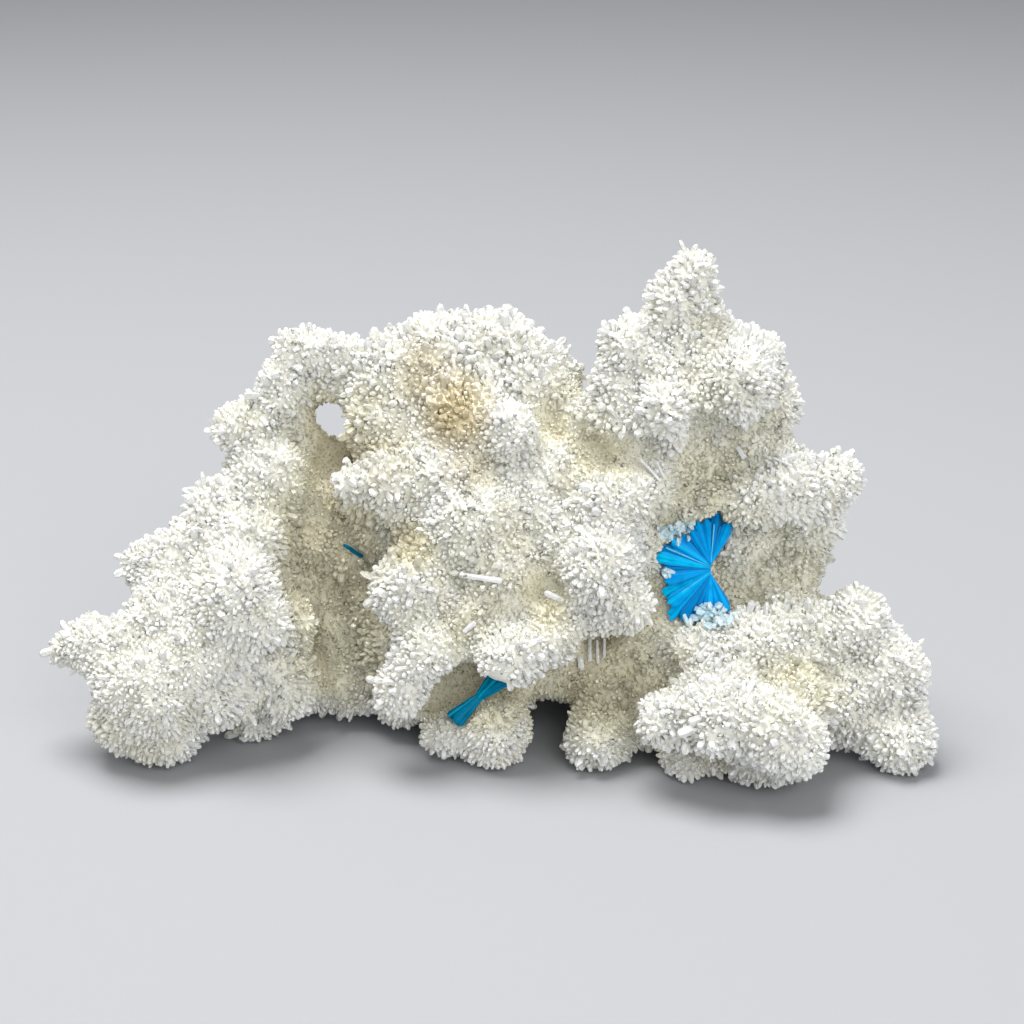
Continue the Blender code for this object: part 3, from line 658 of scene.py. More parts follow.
# %% Knobs
# Each group of knobs has the place it grew from, then x, y, z of every knob's middle and
# its radius with the crystals on it, all in millimetres
KNOBS = {
    "left foot": (
        (-34.0, -3.0, 12.0),
        [
            (-56.3, -8.0, 14.0, 3.3), (-52.5, -9.0, 16.0, 4.4), (-48.5, -11.0, 14.5, 6.0),
            (-44.0, -13.0, 11.0, 8.0), (-47.0, -12.0, 6.5, 6.2), (-43.0, -12.5, 4.0, 5.6),
            (-37.0, -11.0, 15.0, 6.9), (-36.0, -12.0, 9.5, 5.8), (-28.5, -7.0, 11.5, 6.0),
            (-27.0, -8.0, 8.0, 4.6), (-31.5, -5.0, 3.4, 5.0),
        ],
    ),
    "left shoulder": (
        (-32.0, 4.0, 22.0),
        [
            (-45.0, -2.0, 23.5, 5.0), (-40.5, -3.0, 25.0, 5.6), (-42.5, -8.0, 19.5, 5.9),
            (-36.0, -8.0, 19.0, 6.0), (-33.0, -11.0, 23.0, 6.8), (-29.5, -12.0, 20.0, 4.8),
            (-26.5, -6.0, 17.5, 4.6),
        ],
    ),
    "left edge": (
        (-26.0, 9.0, 34.0),
        [
            (-36.0, 0.0, 31.0, 5.4), (-32.0, -4.0, 28.0, 6.0), (-29.5, 2.0, 34.5, 6.6),
            (-32.8, 4.0, 41.0, 4.9), (-29.5, 5.0, 39.5, 5.4), (-27.5, 5.0, 46.0, 4.4),
            (-26.0, 6.0, 51.5, 3.7), (-24.0, 6.5, 50.5, 4.2), (-20.0, 7.0, 49.5, 4.4),
            (-21.5, 9.0, 35.5, 4.2),
        ],
    ),
    "left hollow": (
        (-17.0, 14.0, 24.0),
        [
            (-25.0, 3.0, 26.0, 5.6), (-24.0, 4.0, 18.5, 5.4), (-21.0, 3.0, 12.5, 5.8),
            (-20.0, 4.0, 30.0, 5.2), (-18.0, 3.0, 23.0, 5.2), (-14.0, 1.0, 28.0, 5.8),
            (-16.0, 1.0, 17.0, 5.2), (-18.0, -6.0, 36.8, 3.2), (-17.5, -2.0, 33.8, 4.2),
        ],
    ),
    "dome": (
        (-2.0, 12.0, 34.0),
        [
            (-3.0, 13.0, 41.0, 13.6), (-13.0, 7.0, 46.0, 7.6), (-14.0, 4.0, 41.5, 6.8),
            (5.0, 7.0, 45.5, 7.8), (3.0, -3.5, 43.0, 4.4), (-3.0, 3.0, 40.5, 9.0),
            (-8.0, 10.0, 49.0, 6.8), (1.0, 9.0, 49.5, 6.8), (8.0, 4.0, 40.5, 5.6),
            (12.5, 1.0, 42.5, 4.8), (12.5, 4.0, 37.5, 5.4),
        ],
    ),
    "middle": (
        (-4.0, 4.0, 26.0),
        [
            (-12.0, -3.0, 35.5, 6.0), (-5.5, -3.0, 36.0, 6.0), (-2.5, -7.0, 31.5, 6.6),
            (1.0, -8.0, 25.5, 6.8), (-7.0, -6.0, 27.5, 6.4), (-10.5, -10.0, 23.5, 6.0),
            (-2.5, -9.0, 19.0, 6.7), (-8.5, -14.5, 16.5, 5.0), (-11.5, -15.0, 11.5, 4.4),
            (2.5, -16.0, 16.5, 5.0), (7.5, -12.0, 17.5, 5.0), (4.0, -4.0, 34.0, 5.6),
        ],
    ),
    "front lip": (
        (0.0, -2.0, 6.0),
        [
            (0.3, -12.0, 4.6, 6.2), (-5.5, -11.0, 3.8, 4.6),
        ],
    ),
    "right of middle": (
        (12.0, 4.0, 28.0),
        [
            (14.0, -12.0, 27.5, 6.2), (17.0, -13.0, 23.0, 5.0), (12.0, -10.0, 21.5, 5.4),
            (15.5, -8.0, 34.0, 5.8), (20.5, -6.0, 36.0, 4.8), (9.0, -2.0, 37.0, 5.0),
            (8.0, -6.0, 30.5, 5.2), (19.5, -5.0, 27.5, 5.0),
        ],
    ),
    "spire": (
        (25.0, 6.0, 43.0),
        [
            (26.2, 2.0, 62.6, 4.0), (23.5, 1.5, 58.5, 4.6), (26.2, 2.0, 57.5, 4.6),
            (25.5, 2.0, 53.0, 5.8), (17.5, -1.0, 53.5, 4.6), (16.0, -1.5, 48.5, 4.4),
            (22.0, -7.0, 47.0, 4.4), (16.5, -3.5, 44.0, 4.4), (31.5, -4.0, 49.5, 6.2),
            (34.5, 3.0, 51.0, 4.8), (30.5, 3.0, 53.0, 4.2), (36.5, 2.0, 45.0, 5.2),
            (21.5, 0.0, 41.0, 5.4), (16.5, -0.5, 39.0, 5.2), (29.0, 1.0, 41.5, 6.0),
            (34.0, 0.0, 40.0, 5.4), (25.5, 0.0, 36.5, 5.4),
        ],
    ),
    "right shelf": (
        (30.0, 6.0, 30.0),
        [
            (39.0, -4.0, 35.5, 6.0), (45.0, -3.0, 36.0, 4.6), (42.5, -2.0, 30.5, 5.4),
            (34.0, -6.0, 34.5, 4.8), (29.5, -4.0, 33.0, 4.8), (40.0, 1.0, 24.0, 6.2),
            (33.5, -0.5, 26.5, 5.8), (25.0, -1.5, 29.5, 5.4), (24.0, -2.5, 21.5, 6.0),
            (33.0, -1.0, 20.5, 5.4), (39.0, -4.0, 20.5, 5.2),
        ],
    ),
    "right foot": (
        (32.0, -5.0, 9.0),
        [
            (47.5, -9.0, 18.0, 5.9), (52.3, -11.0, 12.5, 5.8), (53.3, -14.0, 3.9, 5.6),
            (40.5, -10.0, 16.5, 6.4), (33.5, -12.0, 16.5, 6.0), (27.5, -10.5, 15.5, 5.4),
            (22.5, -21.5, 10.5, 4.8), (29.0, -23.0, 11.5, 6.0), (35.5, -24.5, 10.5, 5.9),
            (38.5, -25.0, 8.5, 5.2), (35.0, -18.5, 4.6, 6.0), (30.0, -17.0, 11.0, 6.5),
            (39.0, -17.0, 10.5, 6.0), (45.0, -12.0, 9.0, 6.0), (26.0, -16.0, 3.1, 4.8),
            (20.0, -9.0, 8.5, 5.8), (14.0, -13.0, 3.9, 5.6), (16.0, -7.0, 9.0, 6.4),
            (21.0, -5.5, 15.5, 5.6),
        ],
    ),
    "under the middle": (
        (-6.0, 6.0, 14.0),
        [
            (-19.5, 1.0, 5.6, 5.8), (-12.0, -4.0, 5.4, 5.0), (-26.0, 0.0, 5.0, 4.8),
            (0.0, -1.0, 9.0, 8.0), (-11.0, -2.0, 12.0, 7.5), (8.0, -2.0, 12.0, 8.0),
        ],
    ),
    "back": (
        (2.0, 8.0, 20.0),
        [
            (-41.0, 4.0, 12.0, 7.0), (-38.0, 6.0, 21.0, 6.8), (-31.0, 12.0, 6.6, 7.8),
            (-28.0, 14.0, 18.0, 8.0), (-28.0, 12.0, 29.0, 6.8), (-14.0, 17.0, 12.0, 9.5),
            (-13.0, 18.0, 27.0, 8.0), (-3.0, 22.0, 5.6, 7.2), (2.0, 20.3, 17.0, 10.0),
            (4.0, 19.0, 30.0, 8.5), (14.0, 15.0, 10.0, 9.0), (15.0, 12.0, 25.0, 9.5),
            (19.0, 11.0, 36.0, 7.5), (27.0, 13.0, 5.4, 7.0), (30.0, 10.0, 16.0, 8.5),
            (32.0, 9.0, 29.0, 8.0), (30.0, 8.0, 41.0, 6.4), (42.0, 2.0, 9.0, 7.0),
            (48.0, -5.0, 6.5, 5.6),
        ],
    ),
}

# Two small knobs on the spire's face, which the solid leaves flat
KNOBS["front of the spire"] = (
    (25.0, 6.0, 43.0),
    [(21.5, -1.5, 50.5, 4.2), (23.3, -6.0, 43.2, 3.4)],
)
print(sum(len(knobs) for _, knobs in KNOBS.values()), "knobs in", len(KNOBS), "groups")

# %% Balls, buds and stalks
CRYSTAL_REACH = 1.0
KNOB_SUBDIVISIONS = 3
BUD_SUBDIVISIONS = 2
BUD_SIZE = (0.30, 0.48)
LARGEST_BUD = 2.6
BUD_RISE = 0.7
BUD_AREA = 17.0
STALK_STEPS = (0.3, 0.6)
STALK_SHARE = 0.92
CREVICE_FILL = 0.6


def random_direction(rng):
    z = rng.uniform(-1.0, 1.0)
    turn = rng.uniform(0.0, 2.0 * math.pi)
    flat = math.sqrt(1.0 - z * z)
    return Vector((flat * math.cos(turn), flat * math.sin(turn), z))


def add_ball(bm, middle, radius, subdivisions):
    bmesh.ops.create_icosphere(
        bm, subdivisions=subdivisions, radius=radius, matrix=Matrix.Translation(middle)
    )


def join_in(bm, other):
    """Adds the other bmesh to the first, and frees it."""
    mesh = mesh_of(other, "joined")
    bm.from_mesh(mesh)
    bpy.data.meshes.remove(mesh)


def knob_balls(middle, radius, root, rng):
    """Every ball is larger by the crevice fill, which comes off again under one skin."""
    bm = bmesh.new()
    add_ball(bm, middle, radius + CREVICE_FILL, KNOB_SUBDIVISIONS)
    for step in STALK_STEPS:
        stalk = radius * STALK_SHARE + CREVICE_FILL
        add_ball(bm, middle.lerp(root, step), stalk, BUD_SUBDIVISIONS)
    for _ in range(round(4.0 * math.pi * radius * radius / BUD_AREA)):
        size = min(radius * rng.uniform(*BUD_SIZE), LARGEST_BUD)
        place = middle + random_direction(rng) * (radius + BUD_RISE - size)
        add_ball(bm, place, size + CREVICE_FILL, BUD_SUBDIVISIONS)
    return bm


def in_metres(bm, mesh):
    """Writes a bmesh made in millimetres to a mesh in metres, and frees it."""
    bmesh.ops.scale(bm, vec=Vector((MM, MM, MM)), verts=bm.verts)
    bm.to_mesh(mesh)
    bm.free()


def object_of(bm, name):
    mesh = bpy.data.meshes.new(name)
    in_metres(bm, mesh)
    return linked(name, mesh)


def in_millimetres(obj):
    bm = bmesh.new()
    bm.from_mesh(obj.data)
    bmesh.ops.scale(bm, vec=Vector((1 / MM, 1 / MM, 1 / MM)), verts=bm.verts)
    return bm


def tree_of(obj):
    """A search tree of an object's faces, in millimetres."""
    bm = in_millimetres(obj)
    tree = BVHTree.FromBMesh(bm)
    bm.free()
    return tree


knob_rng = random.Random(7)
knobs_bm = bmesh.new()
for root, knobs in KNOBS.values():
    for x, y, z, radius in knobs:
        inner = radius - CRYSTAL_REACH
        join_in(knobs_bm, knob_balls(Vector((x, y, z)), inner, Vector(root), knob_rng))
body = object_of(knobs_bm, "stilbite_body")
print("points of all balls", len(body.data.vertices))

# %% [markdown]
# A voxel remesh wraps all the balls in a single closed skin. Taking the fill off that skin
# leaves the narrow crevices part filled, as in the real mass. The gap beside the dome is
# cut with a long uneven plug. Smoothing takes off the stair steps of the voxels.

# %% One skin
VOXEL = 0.75
GAP_MIDDLE = Vector((-21.3, 9.0, 40.3))
GAP_LENGTH = 17.0
GAP_TILT = -20.0
GAP_UNEVENNESS = 0.35
GAP_NOISE = 0.9

# Across and up from the middle of the gap, and the radius there
GAP_LOBES = [(-1.1, 1.0, 1.5), (0.2, 0.1, 2.0), (1.5, -0.8, 1.6)]


def apply_modifiers(obj):
    bpy.context.view_layer.update()
    graph = bpy.context.evaluated_depsgraph_get()
    mesh = bpy.data.meshes.new_from_object(obj.evaluated_get(graph))
    obj.modifiers.clear()
    obj.data = mesh


def add_skin(obj):
    remesh = obj.modifiers.new("one skin", "REMESH")
    remesh.mode = "VOXEL"
    remesh.voxel_size = VOXEL * MM


def cut_with(obj, cutter):
    cut = obj.modifiers.new("cut", "BOOLEAN")
    cut.operation = "DIFFERENCE"
    cut.object = cutter


def plug_lobe(bm, across, up, radius):
    lobe = bmesh.new()
    add_ball(lobe, Vector(), radius, KNOB_SUBDIVISIONS)
    for vert in lobe.verts:
        vert.co *= 1.0 + noise.noise(vert.co * GAP_NOISE) * GAP_UNEVENNESS
    bmesh.ops.scale(lobe, vec=Vector((1.0, GAP_LENGTH / radius, 1.0)), verts=lobe.verts)
    place = Matrix.Translation(GAP_MIDDLE + Vector((across, 0.0, up)))
    tilt = Matrix.Rotation(math.radians(GAP_TILT), 4, "X")
    bmesh.ops.transform(lobe, matrix=place @ tilt, verts=lobe.verts)
    join_in(bm, lobe)


plug_bm = bmesh.new()
for across, up, radius in GAP_LOBES:
    plug_lobe(plug_bm, across, up, radius)
plug = object_of(plug_bm, "gap plug")

add_skin(body)
fill = body.modifiers.new("take the fill off", "DISPLACE")
fill.mid_level = 0.0
fill.strength = -CREVICE_FILL * MM
add_skin(body)
add_skin(plug)
cut_with(body, plug)
add_skin(body)
apply_modifiers(body)
bpy.data.objects.remove(plug, do_unlink=True)
print("faces of the skin", len(body.data.polygons))

# %% [markdown]
# The crystals stand on the skin and reach the solid's surface, so the skin goes in by
# about a crystal's height. Two sizes of noise keep the knobs from looking like balls.

# %% Smooth, roughen and shrink the skin
SMOOTHING_PASSES = 3
SMOOTHING = 0.5
SWELLS = ((4.0, 0.45), (1.7, 0.30))
SKIN_DEPTH = 0.40
LOWEST_SKIN = 0.05


def keep_largest_shell(bm):
    left = set(bm.verts)
    shells = []
    while left:
        front = [left.pop()]
        shell = list(front)
        while front:
            vert = front.pop()
            for edge in vert.link_edges:
                other = edge.other_vert(vert)
                if other in left:
                    left.remove(other)
                    front.append(other)
                    shell.append(other)
        shells.append(shell)
    shells.sort(key=len)
    for shell in shells[:-1]:
        bmesh.ops.delete(bm, geom=shell, context="VERTS")


skin_bm = in_millimetres(body)
keep_largest_shell(skin_bm)
for _ in range(SMOOTHING_PASSES):
    bmesh.ops.smooth_vert(
        skin_bm,
        verts=skin_bm.verts,
        factor=SMOOTHING,
        use_axis_x=True,
        use_axis_y=True,
        use_axis_z=True,
    )
skin_bm.normal_update()
moves = []
for vert in skin_bm.verts:
    swell = sum(noise.noise(vert.co / spacing) * height for spacing, height in SWELLS)
    moves.append(vert.normal * (swell - SKIN_DEPTH))
for vert, move in zip(skin_bm.verts, moves):
    vert.co += move
    vert.co.z = max(vert.co.z, LOWEST_SKIN)
in_metres(skin_bm, body.data)

# %% [markdown]
# Each blue growth sits in a pocket of the white skin. The pocket is cut with a hull around
# the growth, a little wider than it.

# %% Pockets
POCKET_GAP = 0.25
FRONT_OPENINGS = (3.5, 0.0, 1.5)


def pocket_cutter(piece, opening):
    """A hull around a growth, reaching further out to the front by the opening."""
    bm = in_millimetres(piece)
    front = bmesh.ops.duplicate(bm, geom=bm.verts)["geom"]
    moved = [item for item in front if isinstance(item, bmesh.types.BMVert)]
    bmesh.ops.translate(bm, vec=back_to_camera * opening, verts=moved)
    hull = bmesh.ops.convex_hull(bm, input=bm.verts)
    spare = set(hull["geom_interior"] + hull["geom_unused"])
    inner = [item for item in spare if isinstance(item, bmesh.types.BMVert)]
    bmesh.ops.delete(bm, geom=inner, context="VERTS")
    keep = {item for item in hull["geom"] if isinstance(item, bmesh.types.BMFace)}
    extra = [face for face in bm.faces if face not in keep]
    bmesh.ops.delete(bm, geom=extra, context="FACES_ONLY")
    bmesh.ops.recalc_face_normals(bm, faces=bm.faces)
    bm.normal_update()
    for vert in bm.verts:
        vert.co += vert.normal * POCKET_GAP
    return object_of(bm, "pocket")


growths = (fan, sheaf, splinter)
pockets = [pocket_cutter(*pair) for pair in zip(growths, FRONT_OPENINGS)]
for pocket in pockets:
    cut_with(body, pocket)
apply_modifiers(body)
for pocket in pockets:
    bpy.data.objects.remove(pocket, do_unlink=True)
pocketed_bm = in_millimetres(body)
keep_largest_shell(pocketed_bm)
bmesh.ops.triangulate(pocketed_bm, faces=pocketed_bm.faces)
in_metres(pocketed_bm, body.data)
body.data.shade_smooth()
print("triangles of the body", len(body.data.polygons))

# %% [markdown]
# On the real mass the knobs that stand out are white and set with clear points, and the
# hollows between them are cream with a fine crust. How open a place is gives both, and
# the same measure also paints shade into the hollows: rays are sent out from every point
# of the skin, and the share of their way that is free is kept.

# %% How open every point of the skin is
OPEN_RAYS = 12
OPEN_REACH = 10.0
OPEN_BLURS = 6
RAY_START = 0.3
RAY_LEAN = 1.05
HOLLOW_OPENNESS = 0.74
KNOB_OPENNESS = 0.98


def corners_of(mesh):
    corners = np.empty(len(mesh.vertices) * 3)
    mesh.vertices.foreach_get("co", corners)
    return corners.reshape(-1, 3) / MM


def normals_of(mesh):
    normals = np.empty(len(mesh.vertices) * 3)
    mesh.vertex_normals.foreach_get("vector", normals)
    return normals.reshape(-1, 3)


def free_way(tree, corner, rays):
    total = 0.0
    for ray in rays:
        distance = tree.ray_cast(corner, Vector(ray), OPEN_REACH)[3]
        total += OPEN_REACH if distance is None else distance
    return total / (OPEN_REACH * len(rays))


def openness(mesh, tree, rng):
    """How free the rays from each point are. They start off the skin and lean outwards."""
    corners, normals = corners_of(mesh), normals_of(mesh)
    rays = unit(rng.normal(0.0, 1.0, (len(corners) * OPEN_RAYS, 3))).reshape(-1, OPEN_RAYS, 3)
    rays = rays + normals[:, None, :] * RAY_LEAN
    starts = corners + normals * RAY_START
    free = [free_way(tree, Vector(start), some) for start, some in zip(starts, rays.tolist())]
    return np.array(free)


def blurred(mesh, values, passes):
    """Averages each point's value with its neighbours' a few times."""
    ends = np.empty(len(mesh.edges) * 2, dtype=np.int64)
    mesh.edges.foreach_get("vertices", ends)
    first, second = ends.reshape(-1, 2).T
    count = 1.0 + np.bincount(ends, minlength=len(values))
    for _ in range(passes):
        total = values + np.bincount(first, values[second], len(values))
        total += np.bincount(second, values[first], len(values))
        values = total / count
    return values


skin_tree = tree_of(body)
skin_open = openness(body.data, skin_tree, np.random.default_rng(3))
skin_open = blurred(body.data, skin_open, OPEN_BLURS)
skin_knob = (skin_open - HOLLOW_OPENNESS) / (KNOB_OPENNESS - HOLLOW_OPENNESS)
skin_knob = np.clip(skin_knob, 0.0, 1.0)
print("openness", [round(float(v), 2) for v in np.percentile(skin_open, (5, 25, 50, 75, 95))])

# %% [markdown]
# The crystals are scattered over the skin closer than their own width, so they run into
# each other as in the real crust. Points are drawn at random by area, and a point too near
# an earlier one is dropped, which keeps the crust even but not regular.

# %% Scatter points on the skin
def draw_points(mesh, count, extra, rng):
    """Points at random on a mesh, by area, with smooth normals and an extra value."""
    corners, normals = corners_of(mesh), normals_of(mesh)
    triangles = np.empty(len(mesh.polygons) * 3, dtype=np.int64)
    mesh.loops.foreach_get("vertex_index", triangles)
    triangles = triangles.reshape(-1, 3)
    a, b, c = (corners[triangles[:, k]] for k in range(3))
    area = np.linalg.norm(np.cross(b - a, c - a), axis=1) / 2
    chosen = triangles[rng.choice(len(triangles), size=count, p=area / area.sum())]
    u, v = rng.random(count), rng.random(count)
    folded = u + v > 1.0
    u[folded], v[folded] = 1.0 - u[folded], 1.0 - v[folded]
    weights = np.stack([1.0 - u - v, u, v], axis=1)
    places = (corners[chosen] * weights[:, :, None]).sum(axis=1)
    directions = (normals[chosen] * weights[:, :, None]).sum(axis=1)
    print("skin area", round(area.sum() / 100), "cm2, points drawn", count)
    return places, unit(directions), (extra[chosen] * weights).sum(axis=1)


def thin_out(places, spacings):
    """Keeps the points that are further than their own spacing from all kept before."""
    cell = float(spacings.max())
    kept_in = {}
    kept = []
    cells = np.floor(places / cell).astype(int)
    around = [(i, j, k) for i in (-1, 0, 1) for j in (-1, 0, 1) for k in (-1, 0, 1)]
    for index, (place, spacing, home) in enumerate(
        zip(places.tolist(), spacings.tolist(), cells.tolist())
    ):
        near = False
        for i, j, k in around:
            for x, y, z in kept_in.get((home[0] + i, home[1] + j, home[2] + k), ()):
                dx, dy, dz = x - place[0], y - place[1], z - place[2]
                if dx * dx + dy * dy + dz * dz < spacing * spacing:
                    near = True
                    break
            if near:
                break
        if not near:
            kept_in.setdefault(tuple(home), []).append(place)
            kept.append(index)
    return np.array(kept)


# %% [markdown]
# On the specimen the points of the dome and the spire are larger than those of the feet,
# and a crystal in a hollow stays short and thin. A few places with a width share each set
# the size, and how open a place is sets the height, so nothing is painted by hand.

# %% Crystal size over the specimen
DRAWN_POINTS = 330000
POINT_WIDTH = 0.92
SPACING_SHARE = 0.62
WIDTH_SPREAD = 0.17
HOLLOW_WIDTH = 0.72
LARGE_POINTS = 3200
CLEAR_BEHIND = 16.0
LARGE_ABOVE = 0.6
LARGE_SHARE = (1.15, 1.45)

# A place's share fades out between 0.4 and 1.4 of its reach
WIDTH_EDGE = 1.4

# Places with larger or finer crystals: middle, reach and width share, in millimetres
WIDTH_PLACES = [
    ((-3.0, 8.0, 54.0), 12.0, 1.22),
    ((-18.0, -6.0, 36.8), 5.0, 1.25),
    ((-21.3, 2.0, 42.5), 5.0, 1.30),
    ((26.0, 2.0, 62.0), 6.0, 1.15),
    ((23.0, -8.0, 46.0), 5.0, 1.20),
    ((-46.0, -12.0, 10.0), 13.0, 0.92),
    ((0.0, -12.0, 5.0), 6.0, 0.72),
    ((0.0, 26.0, 20.0), 26.0, 1.50),
    ((-32.0, 20.0, 15.0), 20.0, 1.50),
    ((34.0, 20.0, 20.0), 20.0, 1.50),
]


def width_share(places):
    share = np.ones(len(places))
    for middle, reach, value in WIDTH_PLACES:
        distance = np.linalg.norm(places - np.array(middle), axis=1)
        weight = np.clip(WIDTH_EDGE - distance / reach, 0.0, 1.0)
        share += (value - share) * weight
    return share


draw_rng = np.random.default_rng(11)
places, normals, knob = draw_points(body.data, DRAWN_POINTS, skin_knob, draw_rng)
widths = POINT_WIDTH * width_share(places) * (HOLLOW_WIDTH + (1.0 - HOLLOW_WIDTH) * knob)
widths *= np.exp(draw_rng.normal(0.0, WIDTH_SPREAD, len(places)))
large = (np.arange(len(places)) < LARGE_POINTS) & (knob > LARGE_ABOVE)
widths[large] *= draw_rng.uniform(*LARGE_SHARE, int(large.sum()))
kept = thin_out(places, widths * SPACING_SHARE)
places, normals, knob, widths = places[kept], normals[kept], knob[kept], widths[kept]
large = large[kept] & (places[:, 1] < CLEAR_BEHIND)
print("crystals", len(places))

# %% Shapes of the crystals
CRUST_WIDTH = 0.90
CLEAR_WIDTH = 0.84
HEIGHT_SHARE = (0.55, 1.15)
HOLLOW_HEIGHT = 0.35
CLEAR_RISE = 1.25
GRAIN_BELOW = 0.55
GRAIN_BEHIND = 13.0
THICKNESS_SHARE = (0.62, 1.0)
ROOT_DEPTH = 0.5
TILT = 0.25

grow_rng = np.random.default_rng(5)
axes = crystal_axes(normals, TILT, grow_rng)
heights = widths * grow_rng.uniform(*HEIGHT_SHARE, len(places))
heights = heights * (HOLLOW_HEIGHT + (1.0 - HOLLOW_HEIGHT) * knob) + ROOT_DEPTH
heights[large] *= CLEAR_RISE
widths = widths * np.where(large, CLEAR_WIDTH, CRUST_WIDTH)
thicknesses = widths * grow_rng.uniform(*THICKNESS_SHARE, len(places))
kinds = grow_rng.integers(0, len(STUBBY), len(places))
grains = (knob < GRAIN_BELOW) | (places[:, 1] > GRAIN_BEHIND)
kinds[grains] = len(STUBBY) + kinds[grains] % len(GRAIN)
tints = grow_rng.random(len(places))
roots = places - axes[2] * ROOT_DEPTH
tips = roots + axes[2] * heights[:, None]

# %% [markdown]
# A crystal that would grow through a blue blade, stand in the way of it from the front, or
# reach through the floor is left out.

# %% Keep the blue growths and the floor clear
GROWTH_ROOM = 0.3
FRONT_ROOM = 7.0


def nearness(points, tree):
    return np.array([tree.find_nearest(Vector(point))[3] for point in points])


def in_front(points, tree):
    """Whether a growth lies behind each point, seen from the front."""
    away = -back_to_camera
    hits = [tree.ray_cast(Vector(point), away, FRONT_ROOM)[0] for point in points]
    return np.array([hit is not None for hit in hits])


clear = tips[:, 2] > widths / 3
for piece in growths:
    tree = tree_of(piece)
    for points in (places, tips):
        clear &= nearness(points, tree) > GROWTH_ROOM
        clear &= ~in_front(points, tree)
print("crystals left out", int((~clear).sum()))

# %% [markdown]
# The hollows are cream and painted shade, most shaded in the deepest of them and under the
# arch, and there is an ochre stain on the dome's near side. The cream and the stain are tints
# of the mineral and the shade is painted; none of them is relief, so they are soft places with
# a weight, stored as numbers on the crystals and on the skin, and the materials turn them
# into colour.

# %% Cream, painted shade and stain
# Middle, reach on each axis and weight, in millimetres. A weight fades out between 0.6
# and 1.6 of its reach
PLACE_EDGE = 1.6
# Cream tint and painted shade by place; the heaviest weights, under the arch and the overhangs,
# reach the deep painted shade.
CREAM_AND_SHADE_PLACES = [
    ((1.0, -9.0, 24.0), (10.0, 8.0, 8.0), 0.32),
    ((-3.0, -12.0, 19.0), (8.0, 8.0, 4.0), 0.38),
    ((40.0, -18.0, 13.0), (6.0, 8.0, 3.0), 0.35),
    ((7.0, -14.0, 22.5), (2.5, 5.0, 3.5), 0.75),
    ((-21.0, -2.0, 24.0), (6.5, 9.0, 12.0), 0.9),
    ((-19.0, -4.0, 13.0), (7.0, 9.0, 7.0), 0.6),
    ((-48.0, -14.0, 9.0), (9.0, 8.0, 8.0), 0.22),
    ((26.0, -4.0, 33.0), (7.0, 7.0, 7.0), 0.5),
    ((16.0, -10.0, 10.0), (7.0, 7.0, 6.0), 1.0),
    ((9.0, -6.0, 14.0), (6.0, 5.0, 5.0), 0.8),
    ((-2.0, -13.0, 10.0), (6.0, 6.0, 3.5), 0.8),
    ((-10.0, -8.0, 29.0), (3.0, 5.0, 2.5), 0.9),
    ((-17.0, 0.0, 41.0), (7.0, 6.0, 7.0), 0.35),
    ((14.4, -3.0, 41.3), (5.0, 8.0, 3.2), 0.55),
    ((26.8, -5.0, 38.5), (5.5, 8.0, 3.5), 0.55),
    ((22.0, -6.0, 32.8), (4.0, 6.0, 3.0), 0.40),
    ((37.4, -5.0, 25.5), (5.5, 8.0, 5.0), 0.35),
]
STAIN_PLACES = [
    ((-4.3, 0.0, 44.3), (3.8, 7.0, 3.8), 0.90),
    ((-8.7, 2.0, 49.0), (3.2, 7.0, 3.2), 0.50),
    ((-3.0, -4.0, 39.0), (3.0, 6.0, 3.5), 0.30),
    ((-18.5, 1.0, 37.0), (4.0, 6.0, 5.0), 0.25),
    ((-14.0, -3.0, 37.5), (5.0, 5.0, 3.5), 0.15),
]


# Lit knobs in the hollows, kept free of the cream and the painted shade
BRIGHT_PLACES = [
    ((-18.0, -7.0, 36.8), (3.4, 3.6, 3.4), 1.0),
    ((-8.5, -15.0, 14.0), (4.5, 5.0, 5.5), 0.8),
    ((3.0, -16.0, 16.5), (5.0, 5.0, 4.5), 0.8),
    ((3.0, -4.0, 43.0), (4.0, 4.0, 4.0), 0.8),
    ((22.0, -6.0, 44.0), (5.0, 6.0, 6.0), 0.7),
    ((17.0, -9.0, 29.0), (4.0, 6.0, 6.0), 0.7),
    ((54.0, -12.0, 6.0), (6.0, 8.0, 6.0), 0.8),
    ((-48.0, -14.0, 13.0), (7.0, 8.0, 6.0), 0.6),
]
# Weight of cream tint and painted shade from how closed a place is
HOLLOW_CREAM_AND_SHADE = 0.9

# Spacing of uneven patches and how much they change
CREAM_PATCHES = ((5.0, 0.20), (1.8, 0.16))


def field(points, soft_places):
    total = np.zeros(len(points))
    for middle, reach, weight in soft_places:
        away = np.linalg.norm((points - np.array(middle)) / np.array(reach), axis=1)
        total = np.maximum(total, weight * np.clip(PLACE_EDGE - away, 0.0, 1.0))
    return total


def patches(points):
    """Uneven patches of two sizes, up and down by the share given with each size."""
    total = np.zeros(len(points))
    for spacing, share in CREAM_PATCHES:
        spots = (points / spacing).tolist()
        total += share * np.array([noise.noise(Vector(spot)) for spot in spots])
    return total


def cream_and_shade_of(points, knob):
    """Cream tint and painted shade by place and everywhere in the hollows, but for the lit knobs
    in them.
    """
    cream_and_shade = np.maximum(field(points, CREAM_AND_SHADE_PLACES), HOLLOW_CREAM_AND_SHADE * (1.0 - knob))
    cream_and_shade = cream_and_shade + patches(points)
    cream_and_shade = cream_and_shade * (1.0 - np.minimum(field(points, BRIGHT_PLACES), 1.0))
    return np.clip(cream_and_shade, 0.0, 1.0)


cream_and_shade = cream_and_shade_of(places, knob)
stain = field(places, STAIN_PLACES)
print("share of cream crystals", round(float((cream_and_shade > 0.5).mean()), 2))

